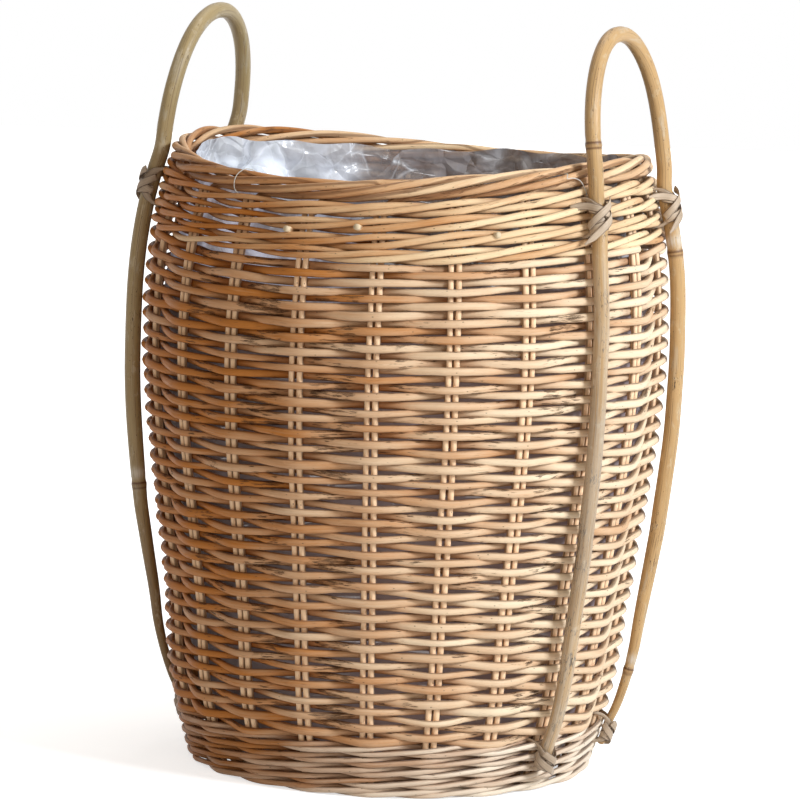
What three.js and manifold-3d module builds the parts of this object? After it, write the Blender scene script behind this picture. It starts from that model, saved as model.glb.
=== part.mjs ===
// A tall barrel-shaped willow basket. Pairs of upright stakes rise from a woven round base.
// One weaving rod after another runs round them, in front of one pair and behind the next.
// A stronger wale closes the side at the foot and under the rim, a rolled border tops it,
// a clear film liner hangs inside, and two bent canes are tied on as handles.
// Millimetres, +Z up, the origin on the floor under the middle of the base, the front at -Y.
import * as THREE from 'three';
import { mergeVertices } from 'three/addons/utils/BufferGeometryUtils.js';
import Module from 'manifold-3d';

const wasm = await Module();
wasm.setup();

// Body
const bodyHeight = 485;
const footRadius = 149.5;
const bellyRadius = 201.4;
const rimRadius = 179.5;
const rimLift = 8.3;
// Height share of the body, then the share of the swell from the foot out to the belly
const swellShares = [[0, 0], [0.124, 0.337], [0.577, 0.934], [0.722, 1]];
// Height share of the body, then the share of the draw from the belly in to the rim
const drawShares = [[0.866, 0.247], [1, 1]];

// Stakes
const pairCount = 21;
const firstPairAzimuth = THREE.MathUtils.degToRad(-6.86);
const stakeThickness = 3.7;
const stakeSpacing = 4.9;

// Weaving, wales and border
const rodThickness = 4.3;
const rodGap = 1.83;
const footRounds = 7;
const topRounds = 7;
const seamPair = 5;
const rodTail = 6;
const borderHeight = 20;
const borderDepth = 16;
const borderLobes = 3;
const valleyShare = 0.8;

// Base
const baseRodThickness = 3.4;
const baseRodWidth = 6;
const baseRodPitch = 7.4;
const baseStickThickness = 4.4;
const hubRadius = 60;
const hubThickness = 9;
const hubRidge = 1.2;
const hubRidgePitch = 10;
const floorClearance = 0.6;

// Liner
const linerThickness = 1;
const linerHemHeight = 12;
const linerHemThickness = 1.8;
const linerDrop = 8;

// Handles and lashings
const caneRadius = 6.2;
const handleRise = 108.5;
const archFoot = 15;
const archLean = 13;
const leftBackTurn = THREE.MathUtils.degToRad(-6.4);
const borderTurnShare = 0.4;
const legEnd = 15;
const tipShare = 0.6;
const legStandOff = 20;
const handleSpreadPairs = 2;
const rightHandlePair = 4;
const caneSides = 8;
const strapThickness = 1;
const strapWidth = 3.2;
const strapGap = 0.6;
const entryShare = 0.6;
const slackShare = 0.12;
const tuckShare = 0.25;
const lapShare = 1.6;
const lowerTieRounds = [3, 6];
const upperTieRounds = [1, 5];

// Clearances
const rubGap = 0.45;
const seatGap = 0.4;
const borderGap = 2.5;
const stakeEndGap = 0.8;

const pairAngle = (2 * Math.PI) / pairCount;
const pairAzimuth = (pair) => firstPairAzimuth + pair * pairAngle;
const handleAzimuth = pairAzimuth(rightHandlePair);
const rodHalf = rodThickness / 2;
const stakeHalf = stakeThickness / 2;
const borderMiddle = bodyHeight - borderHeight / 2;
const wovenHeight = bodyHeight - borderHeight - borderGap;
const rodRows = Math.floor((wovenHeight - rodThickness) / (rodThickness + rodGap)) + 1;
const rowStep = (wovenHeight - rodThickness) / (rodRows - 1);
const sideRows = rodRows - footRounds - topRounds;
const firstTopRow = rodRows - topRounds;

// The wall's middle line, as heights and radii
const wallStations = [
  ...swellShares.map(([up, out]) => [
    up * bodyHeight,
    THREE.MathUtils.lerp(footRadius, bellyRadius, out),
  ]),
  ...drawShares.map(([up, inward]) => [
    up * bodyHeight,
    THREE.MathUtils.lerp(bellyRadius, rimRadius, inward),
  ]),
];

// Reads a value off a line of stations, carried on straight past its upper end
function alongLine(stations, place) {
  const above = stations.findIndex((station) => station[0] >= place);
  if (above === 0) return stations[0][1];
  const upper = above < 0 ? stations.length - 1 : above;
  const [before, after] = [stations[upper - 1], stations[upper]];
  return THREE.MathUtils.mapLinear(place, before[0], after[0], before[1], after[1]);
}

const wallRadius = (height) => alongLine(wallStations, height);

// The wall's lean at a height; the lowest round stands upright on the floor
function wallLean(height) {
  const rise = wallRadius(height + rowStep) - wallRadius(height - rowStep);
  const settle = THREE.MathUtils.clamp((height - rodHalf) / rowStep, 0, 1);
  return Math.atan(rise / (2 * rowStep)) * settle;
}

const outward = (azimuth) => new THREE.Vector3(Math.sin(azimuth), -Math.cos(azimuth), 0);
const along = (azimuth) => new THREE.Vector3(Math.cos(azimuth), Math.sin(azimuth), 0);
const upright = new THREE.Vector3(0, 0, 1);

// Three directions on the wall: square out of it, up it and round it
function wallFrame(azimuth, height) {
  const lean = wallLean(height);
  const flat = outward(azimuth);
  const out = flat.clone().multiplyScalar(Math.cos(lean)).addScaledVector(upright, -Math.sin(lean));
  const up = flat.clone().multiplyScalar(Math.sin(lean)).addScaledVector(upright, Math.cos(lean));
  return { out, up, round: along(azimuth) };
}

// A point on the wall's middle line, moved round, out of and up the wall
function onWall(azimuth, height, offset = 0, sideways = 0) {
  const frame = wallFrame(azimuth, height);
  return outward(azimuth)
    .multiplyScalar(wallRadius(height))
    .addScaledVector(upright, height)
    .addScaledVector(frame.out, offset)
    .addScaledVector(frame.round, sideways);
}

// Joins rings of points into one closed skin, with end caps unless the row is a loop
function skin(rings, loop = false) {
  const count = rings[0].length;
  const faces = [];
  const spans = loop ? rings.length : rings.length - 1;
  for (let ring = 0; ring < spans; ring += 1) {
    const here = ring * count;
    const next = ((ring + 1) % rings.length) * count;
    for (let corner = 0; corner < count; corner += 1) {
      const beside = (corner + 1) % count;
      faces.push(here + corner, here + beside, next + beside);
      faces.push(here + corner, next + beside, next + corner);
    }
  }
  const last = (rings.length - 1) * count;
  for (let corner = 1; corner < count - 1 && !loop; corner += 1) {
    faces.push(0, corner + 1, corner);
    faces.push(last, last + corner, last + corner + 1);
  }
  const geometry = new THREE.BufferGeometry();
  const points = rings.flat().flatMap((corner) => corner.toArray());
  geometry.setAttribute('position', new THREE.Float32BufferAttribute(points, 3));
  geometry.setIndex(faces);
  return geometry;
}

// One ring of a section; each corner is a pair of reaches along the two directions
function section(centre, first, second, corners) {
  return corners.map(([one, two]) =>
    centre.clone().addScaledVector(first, one).addScaledVector(second, two));
}

// The handles hold the rim up a little, and it droops between them
function raised(point) {
  const azimuth = Math.atan2(point.x, -point.y);
  const share = THREE.MathUtils.clamp(point.z / bodyHeight, 0, 1);
  const lift = rimLift * share ** 3 * Math.cos(2 * (azimuth - handleAzimuth));
  return new THREE.Vector3(point.x, point.y, point.z + lift);
}

function lifted(geometry) {
  const place = geometry.getAttribute('position');
  const point = new THREE.Vector3();
  for (let index = 0; index < place.count; index += 1) {
    point.fromBufferAttribute(place, index);
    place.setZ(index, raised(point).z);
  }
  return geometry;
}

// How far a straight rod between two pairs lies inside the round wall, beside a pair
function chordSag(radius, beside) {
  return (beside * (radius * pairAngle - beside)) / (2 * radius);
}

// How far a rod swings out of and behind the stakes, so that it clears both rods of a pair
function rodSwing(radius) {
  const edge = stakeSpacing / 2 + stakeHalf;
  const throwOut = (stakeHalf + rodHalf + rubGap) / (1 - (2 * edge) / (radius * pairAngle));
  const sag = chordSag(radius, edge);
  return { front: throwOut + sag, behind: throwOut - sag };
}

const rowHeight = (row) => rodHalf + row * rowStep;
const squareRod = [[1, 1], [-1, 1], [-1, -1], [1, -1]];
const wedgeRod = [[1, 1], [-1, 1], [0, -1]];

// A rod that winds round the stakes level by level and climbs one row in the seam.
// isBehind says which passes go behind a pair; both of its tips end behind one.
function woundRod(firstRow, rounds, isBehind, shape) {
  let passes = rounds * pairCount;
  while (!isBehind(passes - 1, Math.floor((passes - 1) / pairCount))) passes -= 1;
  const corners = shape.map(([up, out]) => [up * rodHalf, out * rodHalf]);
  const ring = (azimuth, height, offset) => {
    const frame = wallFrame(azimuth, height);
    return section(onWall(azimuth, height, offset), frame.up, frame.out, corners);
  };
  const rings = [];
  for (let pass = 0; pass < passes; pass += 1) {
    const round = Math.floor(pass / pairCount);
    const height = rowHeight(firstRow + round);
    const radius = wallRadius(height);
    const azimuth = pairAzimuth(seamPair + pass);
    const swing = rodSwing(radius);
    const offset = isBehind(pass, round) ? -swing.behind : swing.front;
    if (pass === 0) rings.push(ring(azimuth - rodTail / radius, height, offset));
    rings.push(ring(azimuth, height, offset));
    if (pass === passes - 1) rings.push(ring(azimuth + rodTail / radius, height, offset));
  }
  return lifted(skin(rings));
}

const everySecond = (pass) => pass % 2 === 0;
const everyThird = (pass, round) => (pass + 2 * round) % 3 === 0;

// One upright rod of a pair, to the left or right of the pair's middle
function stake(pair, side) {
  const foot = rodThickness + stakeThickness / 3;
  const top = bodyHeight - borderHeight - stakeEndGap;
  const heights = wallStations.map((station) => station[0]);
  const bends = heights.filter((height) => height > foot && height < top);
  const corners = [[stakeHalf, -stakeHalf], [stakeHalf, stakeHalf], [-stakeHalf, 0]];
  const rings = [foot, ...bends, top].map((height) => {
    const frame = wallFrame(pairAzimuth(pair), height);
    const centre = onWall(pairAzimuth(pair), height, 0, (side * stakeSpacing) / 2);
    return section(centre, frame.out, frame.round, corners);
  });
  return lifted(skin(rings));
}

// The rolled border: a ring of three lobes that climb to the right, one pass to each pair
function border() {
  const steps = pairCount * (borderLobes + 1);
  const rings = [];
  for (let step = 0; step < steps; step += 1) {
    const turn = (2 * Math.PI * step) / steps;
    const roll = (-turn * pairCount) / borderLobes;
    const centre = outward(turn).multiplyScalar(wallRadius(borderMiddle)).setZ(borderMiddle);
    const corners = [];
    for (let corner = 0; corner < 2 * borderLobes; corner += 1) {
      const angle = roll + (Math.PI * corner) / borderLobes;
      const share = corner % 2 === 0 ? 1 : valleyShare;
      const up = (Math.cos(angle) * share * borderHeight) / 2;
      const out = (Math.sin(angle) * share * borderDepth) / 2;
      corners.push([up, out]);
    }
    rings.push(section(centre, upright, outward(turn), corners));
  }
  return lifted(skin(rings, true));
}

// Base
const baseStickHalf = baseStickThickness / 2;
const baseRodHalf = baseRodThickness / 2;

function baseSwing(radius) {
  const span = radius * pairAngle;
  return (baseStickHalf + baseRodHalf + rubGap) / (1 - (2 * baseStickHalf) / span);
}

const baseStickReach = footRadius - rodSwing(footRadius).behind - rodHalf - seatGap;
const baseInnerRadius = hubRadius + baseRodWidth / 2 + rubGap;
const baseOuterRadius = baseStickReach - baseRodWidth / 2;
const baseMiddle = floorClearance + baseSwing(baseInnerRadius) + baseRodHalf;
const baseTop = baseMiddle + baseSwing(baseInnerRadius) + baseRodHalf;

// The base's weave is one flat spiral, over one stick and under the next
function baseWeave() {
  const turns = (baseOuterRadius - baseInnerRadius) / baseRodPitch;
  const passes = Math.floor(turns * pairCount);
  const across = baseRodWidth / 2;
  const corners = [[baseRodHalf, across], [-baseRodHalf, 0], [baseRodHalf, -across]];
  const rings = [];
  for (let pass = 0; pass <= passes; pass += 1) {
    const radius = baseInnerRadius + (baseRodPitch * pass) / pairCount;
    const azimuth = pairAzimuth(pass);
    const side = pass % 2 === 0 ? 1 : -1;
    const height = baseMiddle + side * baseSwing(radius);
    const centre = outward(azimuth).multiplyScalar(radius).setZ(height);
    rings.push(section(centre, upright, outward(azimuth), corners));
  }
  return skin(rings);
}

// The bound middle of the base: a disc with the ridges of its first rounds on both faces
function hub() {
  const ridges = Math.floor(hubRadius / hubRidgePitch);
  const lower = [];
  for (let ridge = 0; ridge < ridges; ridge += 1) {
    const inner = (hubRadius * ridge) / ridges;
    const crest = (hubRadius * (ridge + 0.5)) / ridges;
    lower.push([inner, hubThickness / 2 - hubRidge], [crest, hubThickness / 2]);
  }
  lower.push([hubRadius, hubThickness / 2 - hubRidge]);
  const outline = [
    ...lower.map(([radius, reach]) => new THREE.Vector2(radius, baseMiddle - reach)),
    ...lower.reverse().map(([radius, reach]) => new THREE.Vector2(radius, baseMiddle + reach)),
  ];
  return turned(outline);
}

function turned(outline) {
  const geometry = new THREE.LatheGeometry(outline, pairCount, firstPairAzimuth);
  return geometry.rotateX(Math.PI / 2);
}

function toSolid(geometry) {
  const bare = geometry.clone();
  bare.deleteAttribute('normal');
  bare.deleteAttribute('uv');
  const merged = mergeVertices(bare);
  const points = Float32Array.from(merged.getAttribute('position').array);
  const faces = [];
  for (let at = 0; at < merged.index.count; at += 3) {
    const face = [0, 1, 2].map((step) => merged.index.getX(at + step));
    if (new Set(face).size === 3) faces.push(...face);
  }
  return new wasm.Manifold(new wasm.Mesh({
    numProp: 3,
    vertProperties: points,
    triVerts: Uint32Array.from(faces),
  }));
}

function fromSolid(solid) {
  const mesh = solid.getMesh();
  const geometry = new THREE.BufferGeometry();
  geometry.setAttribute('position', new THREE.Float32BufferAttribute(mesh.vertProperties, 3));
  geometry.setIndex(Array.from(mesh.triVerts));
  return geometry;
}

// The sticks that stiffen the base, spread from its bound middle to the foot
function baseSticks() {
  let solid = toSolid(hub());
  const root = hubRadius - hubRidgePitch;
  const length = baseStickReach - root;
  for (let pair = 0; pair < pairCount; pair += 1) {
    const stick = new THREE.BoxGeometry(baseStickThickness, length, baseStickThickness);
    stick.translate(0, -(root + length / 2), baseMiddle);
    stick.rotateZ(pairAzimuth(pair));
    solid = solid.add(toSolid(stick));
  }
  return fromSolid(solid);
}

// The liner: a film tub whose side hangs from a folded hem inside the rim and meets its base
const strapWrap = (caneRadius + seatGap + strapThickness / 2) / Math.cos(Math.PI / 2 / caneSides);
const strapInside = (height) => {
  const radius = wallRadius(height);
  return rodSwing(radius).behind + chordSag(radius, strapWrap) + rodHalf + seatGap + strapThickness / 2;
};
const linerRadius = (height) => {
  const inward = strapInside(height) + strapThickness / 2 + 2 * seatGap;
  return wallRadius(height) - inward / Math.cos(wallLean(height));
};
const linerFloor = baseTop + seatGap;

function linerBase() {
  const edge = linerRadius(linerFloor);
  const top = linerFloor + linerThickness;
  const outline = [[0, linerFloor], [edge, linerFloor], [edge, top], [0, top]];
  return turned(outline.map(([radius, height]) => new THREE.Vector2(radius, height)));
}

function linerSide() {
  const foot = linerFloor + linerThickness + seatGap;
  const top = bodyHeight - linerDrop;
  const hem = top - linerHemHeight;
  const bends = wallStations.map((station) => station[0]);
  const heights = [foot, ...bends.filter((height) => height > foot && height < hem), hem];
  const face = (height, inward) => new THREE.Vector2(linerRadius(height) - inward, height);
  const outline = [
    ...heights.map((height) => face(height, 0)),
    face(top, 0),
    face(top, linerHemThickness),
    face(hem, linerHemThickness),
    ...heights.reverse().map((height) => face(height, linerThickness)),
    face(foot, 0),
  ];
  return lifted(turned(outline));
}

// Handles
const rightLegs = [rightHandlePair - handleSpreadPairs / 2, rightHandlePair + handleSpreadPairs / 2];
const halfTurn = Math.floor(pairCount / 2);
const leftLegs = rightLegs.map((pair) => pair - halfTurn);
const tieGap = (firstRow, round) => (rowHeight(firstRow + round) + rowHeight(firstRow + round + 1)) / 2;
const lowerTie = lowerTieRounds.map((round) => tieGap(0, round));
const upperTie = upperTieRounds.map((round) => tieGap(firstTopRow, round));
const middleOf = ([low, high]) => (low + high) / 2;

// How far a leg's middle stands out of the wall where it lies on the weave over a pair
function legSeat(height) {
  return rodSwing(wallRadius(height)).front + rodHalf + seatGap + caneRadius;
}

// Share of the way between a leg's ties, then the share of its full bow out of the weave there
const bowShares = [
  [0, 0], [0.05, 0.5], [0.15, 1], [0.4, 1], [0.53, 0.63], [0.66, 0.26], [0.79, 0.04], [1, 0],
];
const besideBorder = borderDepth / 2 + seatGap + caneRadius;

// A leg lies on the weave at its two ties, bows out between them and passes beside the border,
// already turned a little towards its foot of the arch
function legPath(pair, turn) {
  const azimuth = pairAzimuth(pair);
  const [low, high] = [lowerTie[1], upperTie[0]];
  const bends = wallStations.map((station) => station[0]).filter((height) => height > low && height < high);
  const heights = [...bowShares.map(([up]) => THREE.MathUtils.lerp(low, high, up)), ...bends];
  const between = heights.sort((one, other) => one - other).map((height) => {
    const bow = alongLine(bowShares, (height - low) / (high - low));
    const seat = legSeat(height);
    return onWall(azimuth, height, THREE.MathUtils.lerp(seat, Math.max(seat, legStandOff), bow));
  });
  const tied = (height) => onWall(azimuth, height, legSeat(height));
  const border = outward(azimuth + turn * borderTurnShare);
  border.multiplyScalar(wallRadius(borderMiddle) + besideBorder);
  border.setZ(borderMiddle);
  return [tied(legEnd), tied(lowerTie[0]), ...between, tied(upperTie[1]), border].map(raised);
}

function caneRing(centre, heading, beside, radius) {
  const first = beside.clone().addScaledVector(heading, -beside.dot(heading)).normalize();
  const second = heading.clone().cross(first);
  const corners = [];
  for (let corner = 0; corner < caneSides; corner += 1) {
    const angle = (2 * Math.PI * corner) / caneSides;
    corners.push([radius * Math.cos(angle), radius * Math.sin(angle)]);
  }
  return section(centre, first, second, corners);
}

// One cane bent over at the top; its legs run down the outside to the foot.
// The first foot of the arch may be turned round the rim from its leg.
function handle(legs, turn) {
  const feet = [pairAzimuth(legs[0]) + turn, pairAzimuth(legs[1])];
  const azimuth = (feet[0] + feet[1]) / 2;
  const spread = (feet[1] - feet[0]) / 2;
  const rising = legPath(legs[0], turn);
  const falling = legPath(legs[1], 0).reverse();
  const archStart = bodyHeight + archFoot;
  const archRadius = wallRadius(borderMiddle) + besideBorder;
  const rise = handleRise - archFoot - caneRadius;
  const bends = 8;
  const arch = [];
  for (let bend = 0; bend <= bends; bend += 1) {
    const angle = (Math.PI * bend) / bends;
    const lean = archRadius * Math.cos(spread) - archLean * Math.sin(angle);
    const reach = -archRadius * Math.sin(spread) * Math.cos(angle);
    const point = outward(azimuth).multiplyScalar(lean);
    point.addScaledVector(along(azimuth), reach).setZ(archStart + rise * Math.sin(angle));
    arch.push(point);
  }
  const path = [...rising, ...arch, ...falling];
  const rings = path.map((centre, index) => {
    const before = path[Math.max(index - 1, 0)];
    const after = path[Math.min(index + 1, path.length - 1)];
    const heading = after.clone().sub(before).normalize();
    const atTip = index === 0 || index === path.length - 1;
    return caneRing(centre, heading, outward(azimuth), atTip ? tipShare * caneRadius : caneRadius);
  });
  return skin(rings);
}

// Where a round lies at a place beside a leg: it climbs one row across the seam
function seamDrop(pair, sideways, height) {
  const passed = pair + sideways / (wallRadius(height) * pairAngle) - (seamPair - 1);
  const wrapped = THREE.MathUtils.euclideanModulo(passed, pairCount);
  return wrapped < 1 ? (1 - wrapped) * rowStep : 0;
}

// A strap's ring: its middle, its half width and the way it faces, turned from straight out
function strapRing(frame, centre, heading, facing, half) {
  const face = frame.out.clone().multiplyScalar(Math.cos(facing));
  face.addScaledVector(frame.round, Math.sin(facing));
  face.addScaledVector(heading, -face.dot(heading)).normalize();
  const across = heading.clone().cross(face);
  const thin = strapThickness / 2;
  return section(centre, face, across, [[thin, half], [-thin, half], [-thin, -half], [thin, -half]]);
}

// One turn's run over the cane, from its left to its right, with its share of the tie's height
function strapTurn(caneOffset, reach, fromShare, toShare) {
  const entry = caneOffset - entryShare * caneRadius;
  const thin = strapThickness / 2;
  const stops = [[-strapWrap, entry, fromShare, thin, -Math.PI / 2]];
  for (let bend = 0; bend <= caneSides; bend += 1) {
    const facing = (Math.PI * bend) / caneSides - Math.PI / 2;
    const lap = Math.min(lapShare * Math.cos(facing) ** 2, 1);
    const near = THREE.MathUtils.lerp(strapWrap, reach, lap);
    const share = THREE.MathUtils.lerp(slackShare, 1 - slackShare, bend / caneSides);
    stops.push([
      strapWrap * Math.sin(facing),
      caneOffset + near * Math.cos(facing),
      THREE.MathUtils.lerp(fromShare, toShare, share),
      strapWidth / 2,
      facing,
    ]);
  }
  stops.push([strapWrap, entry, toShare, thin, Math.PI / 2]);
  return stops;
}

// The least gap between parts of a strap that lie apart along it, measured on its edges
function leastGap(rings) {
  const samples = [];
  const steps = 4;
  for (let ring = 0; ring + 1 < rings.length; ring += 1) {
    rings[ring].forEach((corner, index) => {
      const beside = rings[ring][(index + 1) % rings[ring].length];
      for (let step = 0; step < steps; step += 1) {
        const edge = corner.clone().lerp(rings[ring + 1][index], step / steps);
        samples.push({ ring, place: edge });
        samples.push({ ring, place: edge.clone().lerp(beside, 1 / 2) });
      }
    });
  }
  let least = Infinity;
  for (const one of samples) {
    for (const other of samples) {
      if (other.ring > one.ring + caneSides / 2) {
        least = Math.min(least, one.place.distanceTo(other.place));
      }
    }
  }
  return least;
}

// A lashing: a strap wound twice round the cane and its pair of stakes, crossed in front,
// passed between the rounds on either side and tucked in behind the stakes
function lashing(pair, tie) {
  const [low, high] = tie;
  const middle = middleOf(tie);
  const caneOffset = legSeat(middle);
  const inside = -strapInside(middle);
  const thin = strapThickness / 2;
  const behind = (sideways, share, facing) => [sideways, inside, share, thin, facing];
  const corner = Math.PI * 0.75;
  const stops = [
    behind(-tuckShare * strapWrap, 0, -Math.PI),
    behind(-strapWrap, 0, -corner),
    ...strapTurn(caneOffset, strapWrap, 0, 1),
    behind(strapWrap, 1, corner),
    behind(0, 1, Math.PI),
    behind(-strapWrap, 1, -corner),
    ...strapTurn(caneOffset, strapWrap + strapThickness + strapGap, 1, 0),
    behind(strapWrap, 0, corner),
    behind(tuckShare * strapWrap, 0, Math.PI),
  ];
  const points = stops.map(([sideways, offset, share]) => {
    const height = THREE.MathUtils.lerp(low, high, share);
    const level = height - seamDrop(pair, sideways, height);
    return onWall(pairAzimuth(pair), level, offset, sideways);
  });
  const frame = wallFrame(pairAzimuth(pair), middle);
  const rings = stops.map(([, , , half, facing], index) => {
    const before = points[Math.max(index - 1, 0)];
    const after = points[Math.min(index + 1, points.length - 1)];
    return strapRing(frame, points[index], after.clone().sub(before).normalize(), facing, half);
  });
  strapGaps.push(leastGap(rings));
  return lifted(skin(rings));
}

const strapGaps = [];

const stakeWood = () => new THREE.MeshStandardMaterial({ color: 0xd9b183, roughness: 0.62, metalness: 0 });
const rodWood = () => new THREE.MeshStandardMaterial({ color: 0xc99a66, roughness: 0.6, metalness: 0 });
const waleWood = () => new THREE.MeshStandardMaterial({ color: 0xb9854f, roughness: 0.6, metalness: 0 });
const cane = () => new THREE.MeshStandardMaterial({ color: 0xc8a873, roughness: 0.4, metalness: 0 });
const strap = () => new THREE.MeshStandardMaterial({ color: 0xa8977c, roughness: 0.6, metalness: 0 });
const film = () => new THREE.MeshStandardMaterial({ color: 0xd6d9e0, roughness: 0.15, metalness: 0 });

const basket = new THREE.Group();

function add(name, geometry, material) {
  const mesh = new THREE.Mesh(geometry, material);
  mesh.name = name;
  basket.add(mesh);
}

add('base_sticks', baseSticks(), stakeWood());
add('base_weave', baseWeave(), rodWood());
for (let pair = 0; pair < pairCount; pair += 1) {
  const number = String(pair + 1).padStart(2, '0');
  add(`stake_${number}_left`, stake(pair, -1), stakeWood());
  add(`stake_${number}_right`, stake(pair, 1), stakeWood());
}
add('foot_wale', woundRod(0, footRounds, everyThird, squareRod), waleWood());
add('side_weave', woundRod(footRounds, sideRows, everySecond, wedgeRod), rodWood());
add('top_wale', woundRod(firstTopRow, topRounds, everyThird, squareRod), waleWood());
add('border', border(), waleWood());
add('liner_base', linerBase(), film());
add('liner_side', linerSide(), film());

const handles = [
  ['left', leftLegs, ['back', 'front'], leftBackTurn],
  ['right', rightLegs, ['front', 'back'], 0],
];
for (const [side, legs, places, turn] of handles) {
  add(`handle_${side}`, handle(legs, turn), cane());
  legs.forEach((pair, index) => {
    add(`lashing_${side}_${places[index]}_upper`, lashing(pair, upperTie), strap());
    add(`lashing_${side}_${places[index]}_lower`, lashing(pair, lowerTie), strap());
  });
}

console.log(`Least gap of a lashing to itself: ${Math.min(...strapGaps).toFixed(2)} mm`);

export default basket;
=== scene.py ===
# A tall willow basket with a film liner and two tied-on cane handles, dressed over its solids.
# Lengths are in millimetres and angles in radians, unless a name or a comment says otherwise.
import bpy
import bmesh
import math
import numpy as np
from mathutils import Matrix, Vector, noise


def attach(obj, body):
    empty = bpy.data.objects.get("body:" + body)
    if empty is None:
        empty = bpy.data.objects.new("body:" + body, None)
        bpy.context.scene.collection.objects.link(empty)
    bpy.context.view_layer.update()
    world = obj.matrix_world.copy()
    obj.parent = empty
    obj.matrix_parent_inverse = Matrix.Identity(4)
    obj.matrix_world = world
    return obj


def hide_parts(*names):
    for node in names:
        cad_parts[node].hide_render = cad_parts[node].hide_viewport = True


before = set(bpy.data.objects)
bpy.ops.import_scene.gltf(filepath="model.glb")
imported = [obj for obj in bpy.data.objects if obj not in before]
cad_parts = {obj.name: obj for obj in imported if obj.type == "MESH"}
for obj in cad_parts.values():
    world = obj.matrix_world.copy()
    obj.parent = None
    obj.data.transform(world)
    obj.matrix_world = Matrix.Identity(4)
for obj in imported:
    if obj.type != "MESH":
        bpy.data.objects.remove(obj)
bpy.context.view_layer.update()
chance = np.random.default_rng(7)
# Blender's noise vectors would otherwise start from the clock
noise.seed_set(7)
MM = 0.001
UPWARDS = [0, 0, 1.0]

# The basket's measures
HEIGHT = 485.0
PAIRS = 21
GAP = 2 * math.pi / PAIRS
FIRST_PAIR = math.radians(-6.86)
SEAM_PAIR = 5
ROW_PITCH = 6.19
FIRST_ROW = 2.15 + 7 * ROW_PITCH
SIDE_ROWS = 61
LAST_ROW = FIRST_ROW + SIDE_ROWS * ROW_PITCH
STAKE_RADIUS = 2.6
STAKE_SPACING = 6.3
RIM_LIFT = 8.3
LIFT_AZIMUTH = FIRST_PAIR + 4 * GAP
WALL_HEIGHTS = np.array([-40, 0, 69, 138.5, 208, 277, 346, 415.5, 485, 530])
WALL_RADII = np.array([139.5, 149.6, 168.5, 178.5, 188.5, 197.6, 201.3, 196.3, 179.3, 166])
WALL_SLOPES = np.gradient(WALL_RADII, WALL_HEIGHTS)
FOOT_SWELL = 5.0


def smooth(low, high, value):
    """Nought at low, one at high, with a soft start and end."""
    t = np.clip((value - low) / (high - low), 0, 1)
    return t * t * (3 - 2 * t)


def curve_between(u, gap, first, second, first_slope, second_slope):
    """A cubic from one value to the next over a gap, with the slopes given at both."""
    return ((2 * u**3 - 3 * u**2 + 1) * first + (u**3 - 2 * u**2 + u) * gap * first_slope
            + (3 * u**2 - 2 * u**3) * second + (u**3 - u**2) * gap * second_slope)


def wall_radius(height):
    """The wall's middle line: a smooth curve through the stations."""
    z = np.clip(height, WALL_HEIGHTS[0], WALL_HEIGHTS[-1] - 0.01)
    i = np.clip(np.searchsorted(WALL_HEIGHTS, z, side="right") - 1, 0, len(WALL_HEIGHTS) - 2)
    gap = WALL_HEIGHTS[i + 1] - WALL_HEIGHTS[i]
    u = (z - WALL_HEIGHTS[i]) / gap
    return curve_between(u, gap, WALL_RADII[i], WALL_RADII[i + 1], WALL_SLOPES[i], WALL_SLOPES[i + 1])


def wall_lean(height):
    """The wall's slope from upright."""
    return np.arctan((wall_radius(height + 4) - wall_radius(height - 4)) / 8)


def rim_lift(azimuth, level):
    """How much the rim's slow wave raises a place: nothing at the foot and most at the top."""
    share = np.clip(level / HEIGHT, 0, 1)
    return RIM_LIFT * share**3 * np.cos(2 * (azimuth - LIFT_AZIMUTH))


def away_from_axis(azimuth):
    """The level direction outwards. Azimuth nought is the front, and it grows to the right."""
    return np.stack([np.sin(azimuth), -np.cos(azimuth), 0 * azimuth], -1)


def round_axis(azimuth):
    """The level direction round the basket, to the right."""
    return np.stack([np.cos(azimuth), np.sin(azimuth), 0 * azimuth], -1)


def on_wall(azimuth, height, offset=0.0):
    """Points beside the wall, the rim's lift included, and the wall's outward directions there."""
    azimuth, height, offset = np.broadcast_arrays(azimuth, height, offset)
    azimuth, height = azimuth.astype(float), height.astype(float)
    lean = wall_lean(height) * np.clip(height / 12, 0, 1)
    swell = FOOT_SWELL * (1 - smooth(60, 150, height)) * np.clip(-np.sin(azimuth), 0, 1) ** 2
    reach = wall_radius(height) + swell + offset * np.cos(lean)
    level = height - offset * np.sin(lean)
    flat = away_from_axis(azimuth)
    points = flat * reach[..., None]
    points[..., 2] = level + rim_lift(azimuth, level)
    outward = flat * np.cos(lean)[..., None]
    outward[..., 2] = -np.sin(lean)
    return points, outward


def pair_azimuth(pair):
    return FIRST_PAIR + pair * GAP


def left_tone_and_shade(azimuth):
    """One at the basket's left side and nought at its right. The rods are browner at the left, partly from
    their own tone and partly from painted shade on the side away from the key lamp.
    """
    return 0.5 - 0.5 * np.sin(azimuth)


def wander(count, size, step):
    """A slow random drift, one value a place, drawn every step places."""
    knots = chance.normal(0, size, count // step + 3)
    at = np.arange(count) / step
    i = at.astype(int)
    return knots[i] + (knots[i + 1] - knots[i]) * smooth(0, 1, at - i)


def run_along(points):
    """How far along a line each of its points is."""
    return np.r_[0, np.cumsum(np.linalg.norm(np.diff(points, axis=0), axis=1))]


def smooth_line(points, step):
    """A smooth line through the points, with a new point about every step along it."""
    points = np.asarray(points, float)
    run = run_along(points[:, :3])
    slope = np.gradient(points, run, axis=0)
    at = np.linspace(0, run[-1], max(int(run[-1] / step), 2) + 1)
    i = np.clip(np.searchsorted(run, at, side="right") - 1, 0, len(run) - 2)
    gap = (run[i + 1] - run[i])[:, None]
    u = (at - run[i])[:, None] / gap
    return curve_between(u, gap, points[i], points[i + 1], slope[i], slope[i + 1])


# Rods and straps swept along their lines
END_REACH = 0.35
ROUND_END = 0.55
GRAIN_SHIFT = 173.3


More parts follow.
